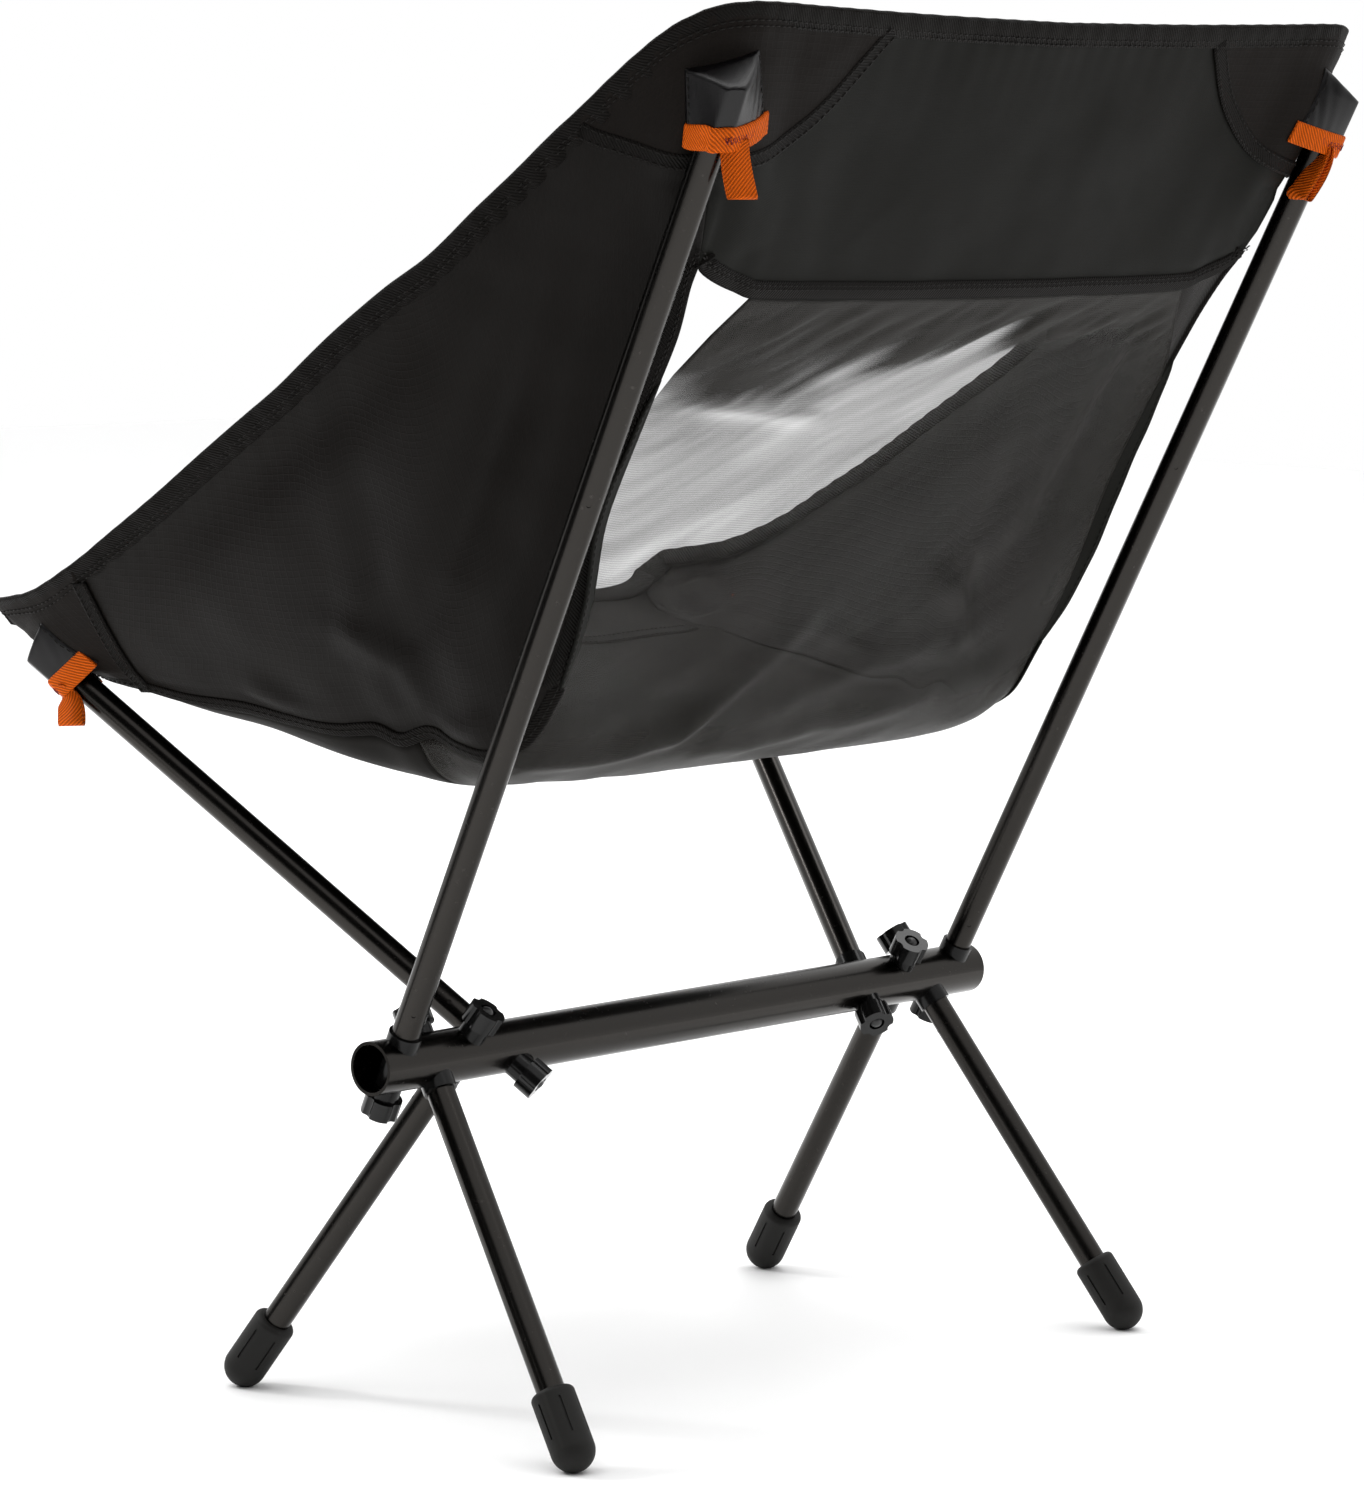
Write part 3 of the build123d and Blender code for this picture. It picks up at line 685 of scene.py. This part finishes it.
# The mesh is drawn close along its right edge, where it lies on the wing
EDGE_COVER, EDGE_CLOSE_TO, EDGE_FADE = 0.5, 26, 5
EDGE_EASE = 12
out_back = facing(mesh_grid, (0, 1, -1))
from_band = lengths_along(mesh_grid[:, SLING_COLUMNS // 2])[:, None]
band_low = side_cloth[0, BACK_CORNER_COLUMN:COLUMNS - BACK_CORNER_COLUMN]
band_low = band_low[np.argsort(band_low[:, 0])]
short_of_band = np.interp(mesh_grid[0, :, 0], band_low[:, 0], band_low[:, 2]) - mesh_grid[0, :, 2]
mesh_grid[..., 2] += short_of_band * np.exp(-from_band / 12)
across = mesh_grid[..., 0]


def drawn_noise(short, long, seed):
    """Uneven streaks on the mesh panel, drawn out along a slant."""
    over = np.broadcast_to(from_band, across.shape) - STREAK_SLANT * across
    along = across + STREAK_SLANT * from_band
    return np.array([noise.noise(Vector((one / short, other / long, seed)))
                     for one, other in zip(over.ravel(), along.ravel())]).reshape(across.shape)


def falling(distance, end, fade):
    """A share that falls from 1 to 0 around a distance."""
    return 1 / (1 + np.exp((distance - end) / fade))


gathers = 1.5 * drawn_noise(9, 70, 2.5) + 0.8 * drawn_noise(4, 30, 7.5)
mesh_lift = ripple(mesh_grid, 60, 2.2, 5) + ripple(mesh_grid, 20, 0.6, 6) + folded(mesh_grid, MESH_FOLDS)
mesh_lift += 1.5 * gathers * np.exp(-(from_band - GATHER_RIDGES_AT) ** 2 / GATHER_RIDGES_SPREAD)
from_right_edge = np.linspace(0, 2 * SLING_HALF, SLING_COLUMNS)[None, :]
edge_ease = np.clip(np.minimum(from_right_edge, 2 * SLING_HALF - from_right_edge) / EDGE_EASE, 0, 1)
mesh_grid = mesh_grid + out_back * (mesh_lift * edge_ease * ends_ease(from_band))[..., None]
mesh_panel = cloth("mesh_panel_cloth", mesh_grid, MESH_CLOTH, thickness=0.4)
left_share = np.clip((across - GATHER_DEEPENS_FROM) / GATHER_DEEPENS_OVER, 0, 1)
close_depth = np.interp(left_share ** 1.5, (0, 1), GATHER_DEPTH) + 5 * gathers
close = falling(from_band, close_depth, 2.5 + 4 * left_share)
gap_light = np.clip(0.5 + 1.2 * drawn_noise(60, 60, 3.5), 0, 1)
gap_light = gap_light * np.exp(-((from_band - GAP_AT) / GAP_WIDTH) ** 2)
low_share = falling(mesh_grid[..., 2], MESH_DARK_BELOW, 5)
cover = MESH_COVER + 0.06 * gathers + (CLOSE_COVER - 0.05 * left_share) * close - GAP_TAKES * gap_light
# The crease's shade and highlight are painted through the cover: it rises along the crease and in a broad band
# above it as darker streaks, and falls in a narrow line below it as a lighter line.
cover += fold(mesh_grid, CREASE, 2.2, 0.5) + fold(mesh_grid, CREASE + (0, 5, 9), 8, 0.28)
cover -= fold(mesh_grid, CREASE - (0, 3, 7), 4, 0.2)
cover += 0.04 * ripple(mesh_grid, 45, 1, 9) + (LOW_COVER - MESH_COVER) * low_share
cover += EDGE_COVER * falling(from_right_edge, EDGE_CLOSE_TO, EDGE_FADE) * (1 - low_share)
attribute = mesh_panel.data.attributes.new("cover", "FLOAT", "POINT")
attribute.data.foreach_set("value", np.clip(cover, *COVER_LIMITS).astype(np.float32).ravel())

BASE_FOLDS = ((((170, -20, 298), (90, -60, 300), (20, -80, 302)), 14, 3.0),)
from_seam = lengths_along(base_grid[:, SLING_COLUMNS // 2])[:, None]
base_lift = ripple(base_grid, 55, 2.0, 11) + folded(base_grid, BASE_FOLDS, mirror=True)
base_lift = base_lift * edge_ease * ends_ease(from_seam)
base_grid = base_grid + facing(base_grid, (0, 0, -1)) * base_lift[..., None]
down = facing(base_grid, (0, 0, -1))
cloth("seat_base_cloth", base_grid, BASE_CLOTH)

# ---------------------------------------------------------------- corner patches
PATCH_BEFORE, PATCH_AFTER, PATCH_DEPTH = 92.0, 112.0, 72.0
PATCH_ROWS, PATCH_COLUMNS, FRONT_PATCH_POINTS, SEAM_POINTS = 41, 71, 31, 41
PATCH_LIFT = 0.9
TAPE_HEIGHT, STITCHES_ON_TAPE = 0.9, 0.85
TAPE_STITCHES = (-2.8, 2.8)
corner_at = along_rim[BACK_CORNER_COLUMN]


def patch_depth(from_corner):
    """How deep the back corner patch reaches below the hem."""
    before = PATCH_DEPTH * (1 - np.abs(from_corner / PATCH_BEFORE) ** 1.4)
    after = PATCH_DEPTH * (1 - np.abs(from_corner / PATCH_AFTER) ** 2.4)
    return np.maximum(np.where(from_corner < 0, before, after), 0.5)


def on_side(side, columns):
    """Columns on the left side, or their mirror images on the right."""
    return columns if side == "left" else COLUMNS - 1 - columns


def stitch_row(path, normals, height, offset=0.0):
    """A row of stitches at a height above a path on a surface, and at an offset beside it."""
    rows_of_stitches.append((lifted(path, normals, height) + beside(path, normals) * offset, normals))


def stitch_tape(path, normals, height):
    """A row of stitches along each edge of the tape on a path."""
    for offset in TAPE_STITCHES:
        stitch_row(path, normals, height, offset)


patch_places = np.linspace(-PATCH_BEFORE + 1, PATCH_AFTER - 1, PATCH_COLUMNS)
patch_columns = np.interp(corner_at + patch_places, along_rim, np.arange(COLUMNS))
depths = patch_depth(patch_places)
patch_rows = below_rim(patch_columns[None, :], depths[None, :] * np.linspace(0, 1, PATCH_ROWS)[:, None])
inside = depths > HEM_WIDTH - 2
front_columns = np.linspace(0, FRONT_PATCH_COLUMN, FRONT_PATCH_POINTS)
front_rows = np.linspace(0, SIDE_ROWS - 1, FRONT_PATCH_POINTS)[:, None] * np.ones((1, FRONT_PATCH_POINTS))
seam_column = np.full(SEAM_POINTS, float(FRONT_PATCH_COLUMN))
seam_rows = np.linspace(0, below_rim(seam_column[:1], HEM_WIDTH - 2)[0], SEAM_POINTS)
tape = tape_section(TAPE_WIDTH, TAPE_HEIGHT)
rows_of_stitches = []
for side in SIDES:
    spots, ups = side_line(on_side(side, np.broadcast_to(patch_columns, patch_rows.shape)), patch_rows)
    cloth(f"corner_patch_back_{side}", lifted(spots, ups, PATCH_LIFT), PATCH_CLOTH)
    border, border_up = side_line(on_side(side, patch_columns[inside]),
                                  below_rim(patch_columns[inside], depths[inside] - 2))
    border = lifted(border, border_up, PATCH_LIFT)
    swept(f"patch_tape_back_{side}", border, border_up, tape, BINDING)
    stitch_tape(border, border_up, STITCHES_ON_TAPE)
    spots, ups = side_line(on_side(side, np.broadcast_to(front_columns, front_rows.shape)), front_rows)
    cloth(f"corner_patch_front_{side}", lifted(spots, ups, PATCH_LIFT), PATCH_CLOTH)
    spots, ups = side_line(on_side(side, seam_column), seam_rows)
    swept(f"patch_tape_front_{side}", lifted(spots, ups, PATCH_LIFT), ups, tape, BINDING)
    stitch_tape(spots, ups, PATCH_LIFT + STITCHES_ON_TAPE)

# ---------------------------------------------------------------- hems and seams
HEM_OUT = 1.3
# The narrower binding on the free lower edge, and the rows of stitches on both bindings
EDGE_SHARE = 0.75
HEM_STITCHES, EDGE_STITCHES = (HEM_WIDTH - 3.8, HEM_WIDTH - 1.4), (4.6, 6.6)
# The heights where the lower edge comes free of the seat's base and where the wing's flange ends
EDGE_FREE_ABOVE, FLANGE_BELOW = 333, 474
SEAM_TAPE_WIDTH, SEAM_TAPE_HEIGHT, SEAM_TAPE_RISE, SEAM_STITCH_LIFT = 6.5, 1.1, 3.0, 1.4
FLANGE_WIDTH, FLANGE_WAY, FLANGE_WAVE = 8.0, (0.93, 0.36), 0.4
BASE_SEAM_FROM_FRONT, FRONT_HEM_UP = 45, (0, 0.45, 0.9)
HEM_SECTION = tuple((-out, up) for out, up in (
    (0.6, HEM_OUT), (HEM_WIDTH * 0.5, HEM_OUT * 1.08), (HEM_WIDTH - 0.5, HEM_OUT), (HEM_WIDTH, 0.3),
    (HEM_WIDTH, -0.3), (HEM_WIDTH - 0.5, -HEM_OUT), (HEM_WIDTH * 0.5, -HEM_OUT * 1.08), (0.6, -HEM_OUT),
    (-0.2, -HEM_OUT * 0.6), (-0.5, 0), (-0.2, HEM_OUT * 0.6),
))
all_columns = np.arange(COLUMNS, dtype=float)
rim_line, rim_up = side_line(all_columns, np.full(COLUMNS, SIDE_ROWS - 1.0))
swept("hem_binding_top", rim_line, rim_up, HEM_SECTION, BINDING)
for depth in HEM_STITCHES:
    spots, ups = side_line(all_columns, below_rim(all_columns, depth))
    stitch_row(spots, ups, HEM_OUT)
    stitch_row(spots, -ups, HEM_OUT)

free_from = int(np.argmax(half_low[:, 2] > EDGE_FREE_ABOVE))
free_columns = np.arange(free_from, COLUMNS - free_from, dtype=float)
edge_line, edge_up = side_line(free_columns, np.zeros(len(free_columns)))
EDGE_SECTION = tuple((-out * EDGE_SHARE, up) for out, up in HEM_SECTION)
swept("edge_binding", edge_line, edge_up, EDGE_SECTION, BINDING)
for depth in EDGE_STITCHES:
    spots, ups = side_line(free_columns, above_seam(free_columns, depth))
    stitch_row(spots, ups, HEM_OUT)

seam_columns = np.arange(1, free_from + 1, dtype=float)
for side in SIDES:
    at_columns = on_side(side, seam_columns)
    spots, ups = side_line(at_columns, above_seam(at_columns, SEAM_TAPE_RISE))
    swept(f"base_seam_tape_{side}", lifted(spots, ups, 0.3), ups,
          tape_section(SEAM_TAPE_WIDTH, SEAM_TAPE_HEIGHT), BINDING)
    stitch_row(spots, ups, SEAM_STITCH_LIFT)
    flange_to = int(np.argmax(half_low[:, 2] > FLANGE_BELOW))
    flange_columns = on_side(side, np.arange(free_from, flange_to, dtype=float))
    seam, _ = side_line(flange_columns, np.zeros(len(flange_columns)))
    reach = FLANGE_WIDTH * np.sin(np.linspace(0.03, math.pi - 0.03, len(seam))) ** 0.6
    share = np.linspace(-0.3, 1, 6)[:, None, None]
    way = unit(np.array((SIDES[side] * FLANGE_WAY[0], FLANGE_WAY[1], 0.0)))
    flange = seam[None] + share * reach[None, :, None] * way
    flange = flange - PLUMB * FLANGE_WAVE * np.sin(lengths_along(seam) / 5)[None, :, None] * share
    cloth(f"seam_flange_{side}", flange, BAND_CLOTH, thickness=1.0)
    flange_up = np.broadcast_to(np.cross(-PLUMB, way) * SIDES[side], seam.shape)
    stitch_row(flange[-2], flange_up, 0.5)

seam_row = int(np.argmin(np.abs(lengths_along(base_grid[::-1, SLING_COLUMNS // 2]) - BASE_SEAM_FROM_FRONT)))
seam_line, seam_up = base_grid[-1 - seam_row][3:-3], -down[-1 - seam_row][3:-3]
swept("base_cross_tape", seam_line, seam_up, tape_section(TAPE_WIDTH, 1.0), BINDING)
stitch_tape(seam_line, seam_up, 0.95)

front_line = base_grid[-1][::-1]
front_up = np.broadcast_to(unit(np.array(FRONT_HEM_UP)), front_line.shape)
swept("hem_binding_front", front_line, front_up, HEM_SECTION, BINDING)


# ---------------------------------------------------------------- pockets, webbing and pull loops
# Each pocket is a tent of coated cloth, sewn to its corner at both sides and along its top, with
# the pole's tip standing inside. Its places are across the corner, up it, and out from it, all
# from the tip. The corners are low inner, low outer, high inner and high outer.
CAP_RADIUS = 7.0
POCKETS = {
    "back": ((-14.3, -31.0), (20.3, -28.0), (-18.0, 1.5), (13.4, 9.1)),
    "front": ((-16.0, -27.0), (16.0, -27.0), (-16.0, 4.5), (16.0, 4.5)),
}
POCKET_RIDGE = 3.2
POCKET_CLEARANCE = 1.2
MOUTH_RISE = 4.0
TENT_SOFT = 0.09
POCKET_ROWS, POCKET_COLUMNS = 47, 51
BAND_WIDTH = 10.8
LOOP_WIDTH, LOOP_LENGTH, LOOP_STRAIGHT = 12.0, {"back": 23.0, "front": 19.0}, 7.0
# Where each loop starts and ends across its corner, how far its two layers stand apart at the top,
# and how much farther at the end
LOOP_TOP, LOOP_END, LOOP_SHUT, LOOP_OPEN = 2.5, 6.5, 0.7, 1.3
LOOP_POINTS, BAND_POINTS, TACK_POINTS = 80, 61, 15
# How each loop has twisted on its way down, and where its end has swung to
LOOP_TWISTS = {"back_left": 0, "back_right": 50, "front_left": 78, "front_right": -25}
LOOP_SWINGS = {"back_right": (0, -13, 0)}
TACK_ACROSS, TACK_ZIGZAG, TACK_LIFT = (-3.0, 11.5), 1.5, 1.3
# Where the cloth is looked for behind a tip: below it by this much, and within these distances
CLOTH_BEHIND, CLOTH_NEAR, CORNER_REACH = 12, 14, (45, 60, 40)


class Corner:
    """The cloth behind one upright's tip: axes across it, up it and out of it, from the tip."""

    def __init__(self, end, side):
        pole = f"{end}_upright_{side}"
        joint = JOINTS.get(f"{pole}_pull") or JOINTS[f"{end}_upright_upper_{side}_pull"]
        self.label = f"{end}_{side}"
        pole_way = np.array(joint["axis"], float)
        spots = np.array([vertex.co for vertex in frame["nodes"][f"tip_cap_{pole}"].data.vertices])
        reach = spots @ pole_way
        tip = spots[reach > reach.max() - 0.0002].mean(axis=0)
        self.tip = (tip - np.array((0, HUB_Y, 0))) / MM
        near = np.linalg.norm(side_cloth - (self.tip - pole_way * CLOTH_BEHIND), axis=2)
        out = outward[near < near.min() + CLOTH_NEAR].mean(axis=0)
        self.out = unit(out - pole_way * (out @ pole_way))
        rise_way = -PLUMB if end == "back" else pole_way
        self.up = unit(rise_way - self.out * (rise_way @ self.out))
        self.across = np.cross(self.up, self.out) * SIDES[side]
        self.slope = (pole_way @ self.across) / (pole_way @ self.up)
        local = np.stack([(side_cloth - self.tip) @ way for way in (self.across, self.up, self.out)], axis=2)
        self.cloth_spots = local[(np.abs(local) < CORNER_REACH).all(axis=2)]
        self.low_in, self.low_out, self.high_in, self.high_out = np.array(POCKETS[end])

    def cloth_height(self, across, up):
        """How far out the corner's cloth lies at places across it and up it."""
        wanted = np.stack((np.ravel(across), np.ravel(up)), axis=1)
        gaps = np.linalg.norm(wanted[:, None] - self.cloth_spots[None, :, :2], axis=2) + 0.5
        weights = gaps ** -4
        heights = (weights * self.cloth_spots[None, :, 2]).sum(axis=1) / weights.sum(axis=1)
        return heights.reshape(np.shape(across))

    def tent(self, across, up):
        """The pocket's rise over the pole, from 0 on its seams to 1 along the pole."""
        def seam(low, high):
            return low[0] + (up - low[1]) * (high[0] - low[0]) / (high[1] - low[1])

        rim_share = (across - self.high_in[0]) / (self.high_out[0] - self.high_in[0])
        top = self.high_in[1] + rim_share * (self.high_out[1] - self.high_in[1])
        ridge = np.minimum(up, 0) * self.slope
        inner, outer = seam(self.low_in, self.high_in), seam(self.low_out, self.high_out)
        slants = np.stack((
            (across - inner) / np.maximum(ridge - POCKET_RIDGE - inner, 1),
            (outer - across) / (outer - ridge - POCKET_RIDGE),
            (top - up) / np.maximum(top - 0.5, 1),
            np.ones_like(across),
        ))
        rounded = -TENT_SOFT * np.log(np.exp(-np.maximum(slants, -1) / TENT_SOFT).sum(axis=0))
        return np.clip(rounded / (1 - TENT_SOFT), 0, 1)

    def height(self, across, up):
        """How far out the pocket's cloth stands."""
        under = self.cloth_height(across, up) + PATCH_LIFT
        return under + (CAP_RADIUS + POCKET_CLEARANCE - under) * self.tent(across, up) + 0.5

    def spread(self, share_across, share_up):
        """Places in the pocket's flat outline, with its mouth drawn up over the pole."""
        wide, tall = share_across[..., None], share_up[..., None]
        low = self.low_in * (1 - wide) + self.low_out * wide
        high = self.high_in * (1 - wide) + self.high_out * wide
        spots = low * (1 - tall) + high * tall
        drawn = self.tent(spots[..., 0], spots[..., 1]) * MOUTH_RISE * (1 - share_up)
        return spots[..., 0], spots[..., 1] + drawn

    def place(self, across, up, out):
        return (self.tip + np.asarray(across, float)[..., None] * self.across
                + np.asarray(up, float)[..., None] * self.up + np.asarray(out, float)[..., None] * self.out)

    def facing_out(self, normals):
        return np.where((normals @ self.out)[..., None] < 0, -normals, normals)


def pull_loop(corner, end, band_up, band_out):
    """The path and normals of a strap that hangs folded from the webbing, open a little."""
    share = np.linspace(0, 1, 30)[:, None]
    start = corner.place(LOOP_TOP, band_up, band_out)
    turn_at = corner.place(LOOP_TOP, band_up - LOOP_STRAIGHT, band_out)
    finish = turn_at + PLUMB * (LOOP_LENGTH[end] - LOOP_STRAIGHT) + corner.across * (LOOP_END - LOOP_TOP)
    finish = finish + np.array(LOOP_SWINGS.get(corner.label, (0, 0, 0)), float)
    centre = start * (1 - share) ** 2 + turn_at * 2 * share * (1 - share) + finish * share ** 2
    twist = math.radians(LOOP_TWISTS[corner.label]) * share * (2 - share)
    wide = unit(corner.across * np.cos(twist) + np.cross(-PLUMB, corner.across) * np.sin(twist))
    away = unit(np.cross(wide, np.gradient(centre, axis=0)))
    away = away * np.sign(away[0] @ corner.out)
    apart = LOOP_SHUT + LOOP_OPEN * np.sin(math.pi * 0.5 * share) ** 2
    radius = float(apart[-1, 0])
    along = unit(centre[-1] - centre[-2])
    bend = np.linspace(0, math.pi, 9)[1:-1, None]
    end_turn = centre[-1] + radius * (away[-1] * np.cos(bend) + along * np.sin(bend))
    path = np.vstack((centre + away * apart, end_turn, (centre - away * apart)[::-1]))
    sides = np.vstack((wide, np.broadcast_to(wide[-1], end_turn.shape), wide[::-1]))
    stations = lengths_along(path)
    wanted = np.linspace(0, stations[-1], LOOP_POINTS)
    path, sides = between(path, stations, wanted), between(sides, stations, wanted)
    return path, unit(np.cross(sides, unit(np.gradient(path, axis=0))))


bartacks = []
for end, side in CORNERS:
    corner = Corner(end, side)
    label = corner.label
    wide, tall = np.meshgrid(np.linspace(0, 1, POCKET_COLUMNS), np.linspace(0, 1, POCKET_ROWS))
    at_across, at_up = corner.spread(wide, tall)
    pocket_grid = corner.place(at_across, at_up, corner.height(at_across, at_up))
    cloth(f"pocket_cloth_{label}", pocket_grid, POCKET_CLOTH, thickness=0.5)
    band_share = np.linspace(-0.02, 1.02, BAND_POINTS)
    band_across, mouth_up = corner.spread(band_share, np.zeros(BAND_POINTS))
    band_up = mouth_up + BAND_WIDTH / 2 - 1.0
    band_out = corner.height(band_across, band_up) + 0.5
    centre = corner.place(band_across, band_up, band_out)
    run = unit(np.gradient(centre, axis=0))
    band_normals = corner.facing_out(unit(np.cross(run, np.broadcast_to(corner.up, run.shape))))
    swept(f"webbing_band_{label}", centre, band_normals, tape_section(BAND_WIDTH, 1.2), ORANGE)
    middle = int(np.argmin(np.abs(band_across - LOOP_TOP)))
    loop_path, loop_normals = pull_loop(corner, end, band_up[middle] - 1, band_out[middle] - 1.6)
    swept(f"pull_loop_{label}", loop_path, loop_normals, tape_section(LOOP_WIDTH, 1.0, under=0.1), ORANGE)
    tack_across = np.linspace(*TACK_ACROSS, TACK_POINTS)
    tack_out = np.interp(tack_across, band_across, band_out) + TACK_LIFT
    tack_up = np.interp(tack_across, band_across, band_up) + TACK_ZIGZAG * (-1.0) ** np.arange(TACK_POINTS)
    tack = even(corner.place(tack_across, tack_up, tack_out), 90)
    bartacks.append((tack, np.broadcast_to(corner.out, tack.shape)))
    for column in (1, -2):
        seam = pocket_grid[2:, column]
        stitch_row(seam, np.broadcast_to(corner.out, seam.shape), 0.4)
stitched("seam_stitches", rows_of_stitches, THREAD)
stitched("webbing_bartacks", bartacks, BARTACK, length=1.9, pitch=1.7, radius=0.24)

# ---------------------------------------------------------------- bodies, and the frame's parts that the pieces replace
SHEETS = {
    "side_wing": ("stretched", "ripstop"), "back_band": ("stretched", "ripstop"),
    "mesh_panel": ("hung", "mesh"), "seat_base": ("hung", "ripstop"), "seam_flange": ("hung", "ripstop"),
    "corner_patch": ("stretched", "ripstop"), "pocket_cloth": ("stretched", "pocket"),
}
# The part of the frame that each made piece stands for, which is hidden. On the chair the pockets sit on the tip
# caps, and the other sheets hang from the pockets.
STANDS_FOR = {
    "side_wing_left": "wing_left", "side_wing_right": "wing_right", "back_band_cloth": "back_band",
    "mesh_panel_cloth": "mesh_panel", "seat_base_cloth": "seat_base",
}
for end, side in CORNERS:
    label = f"{end}_{side}"
    STANDS_FOR[f"pocket_cloth_{label}"] = f"pocket_{label}"
    STANDS_FOR[f"corner_patch_{label}"] = f"corner_patches_{end}"
    STANDS_FOR[f"webbing_band_{label}"] = "webbing_bands"
    STANDS_FOR[f"pull_loop_{label}"] = "pull_loops"
for name, piece in PIECES.items():
    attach(piece, "seat")
    if name in STANDS_FOR:
        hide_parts(STANDS_FOR[name])
    kind = next((kind for kind in SHEETS if name.startswith(kind)), None)
    if kind is None:
        continue

# ---------------------------------------------------------------- floor, light and camera
def plain_piece(name, points, faces, look):
    """A stage piece from points in metres."""
    mesh = bpy.data.meshes.new(name)
    mesh.from_pydata(points, [], faces)
    mesh.materials.append(look.material)
    return shown(name, mesh)


FLOOR_HALF = 6.0
FLOOR_CORNERS = ((-1, -1), (1, -1), (1, 1), (-1, 1))
floor_look = Look("floor_white", (0.985, 0.985, 0.985), 0.7, specular=0.1)
floor_clouds = floor_look.grain(floor_look.coordinates("Object"), 3)
floor_look.drive("Roughness", floor_look.mapped(floor_clouds, 0.55, 0.65))
floor = plain_piece("floor", [(x * FLOOR_HALF, y * FLOOR_HALF, 0) for x, y in FLOOR_CORNERS], [(0, 1, 2, 3)],
                    floor_look)

world = bpy.data.worlds.new("studio")
world.use_nodes = True
world.node_tree.nodes["Background"].inputs["Color"].default_value = (1, 1, 1, 1)
world.node_tree.nodes["Background"].inputs["Strength"].default_value = 1.0
bpy.context.scene.world = world
bpy.context.scene.view_settings.view_transform = "Standard"


def soft_light(name, place, target, size, watts):
    """A square soft box that points at a target."""
    lamp = bpy.data.lights.new(name, "AREA")
    lamp.size = size
    lamp.energy = watts
    box = shown(name, lamp)
    box.location = place
    box.rotation_mode = "QUATERNION"
    box.rotation_quaternion = (Vector(target) - Vector(place)).to_track_quat("-Z", "Y")


CHAIR_MIDDLE = (0, 0, 0.35)
soft_light("top_softbox", (-0.3, -0.3, 3.0), CHAIR_MIDDLE, 3.4, 95)
soft_light("side_softbox", (1.1, -2.2, 2.0), CHAIR_MIDDLE, 0.6, 30)

SCREEN_STEPS = 24
SCREEN_LOOK = Look("screen_black", (0.02, 0.02, 0.02), 0.9, specular=0.1)


def dark_screen(name, from_angle, to_angle, radius, tall):
    """A curved dark flag on the floor, unseen by the camera: angles in degrees, sizes in metres."""
    points, faces = [], []
    for step in range(SCREEN_STEPS + 1):
        angle = math.radians(from_angle + (to_angle - from_angle) * step / SCREEN_STEPS)
        for height in (0.0, tall):
            points.append((radius * math.cos(angle), radius * math.sin(angle), height))
        if step:
            faces.append((2 * step - 2, 2 * step, 2 * step + 1, 2 * step - 1))
    screen = plain_piece(name, points, faces, SCREEN_LOOK)
    screen.visible_camera = False
    return screen


dark_screen("dark_screen_open_side", -15, 100, 3.0, 2.1)
# A nearer one that only shows in the gloss, as the dark line along each pole
line_screen = dark_screen("dark_screen_pole_line", -52, -12, 1.0, 1.5)
line_screen.visible_diffuse = False
line_screen.visible_shadow = False

CAMERA_PLACE = (1.9142, 1.6691, 0.5813)
CAMERA_AZIMUTH, CAMERA_ELEVATION, CAMERA_ROLL = (math.radians(angle) for angle in (131.13, 6.55, 0.81))
CAMERA_LENS, CAMERA_SENSOR = 130.15, 36.0
CAMERA_SHIFT = (0.0003, -0.0021)
camera_data = bpy.data.cameras.new("camera")
camera_data.lens = CAMERA_LENS
camera_data.sensor_width = CAMERA_SENSOR
camera_data.shift_x, camera_data.shift_y = CAMERA_SHIFT
camera = shown("camera", camera_data)
turn = (Matrix.Rotation(CAMERA_AZIMUTH, 4, "Z") @ Matrix.Rotation(math.pi / 2 - CAMERA_ELEVATION, 4, "X")
        @ Matrix.Rotation(CAMERA_ROLL, 4, "Z"))
camera.matrix_world = Matrix.Translation(CAMERA_PLACE) @ turn
bpy.context.scene.camera = camera

bpy.context.view_layer.update()
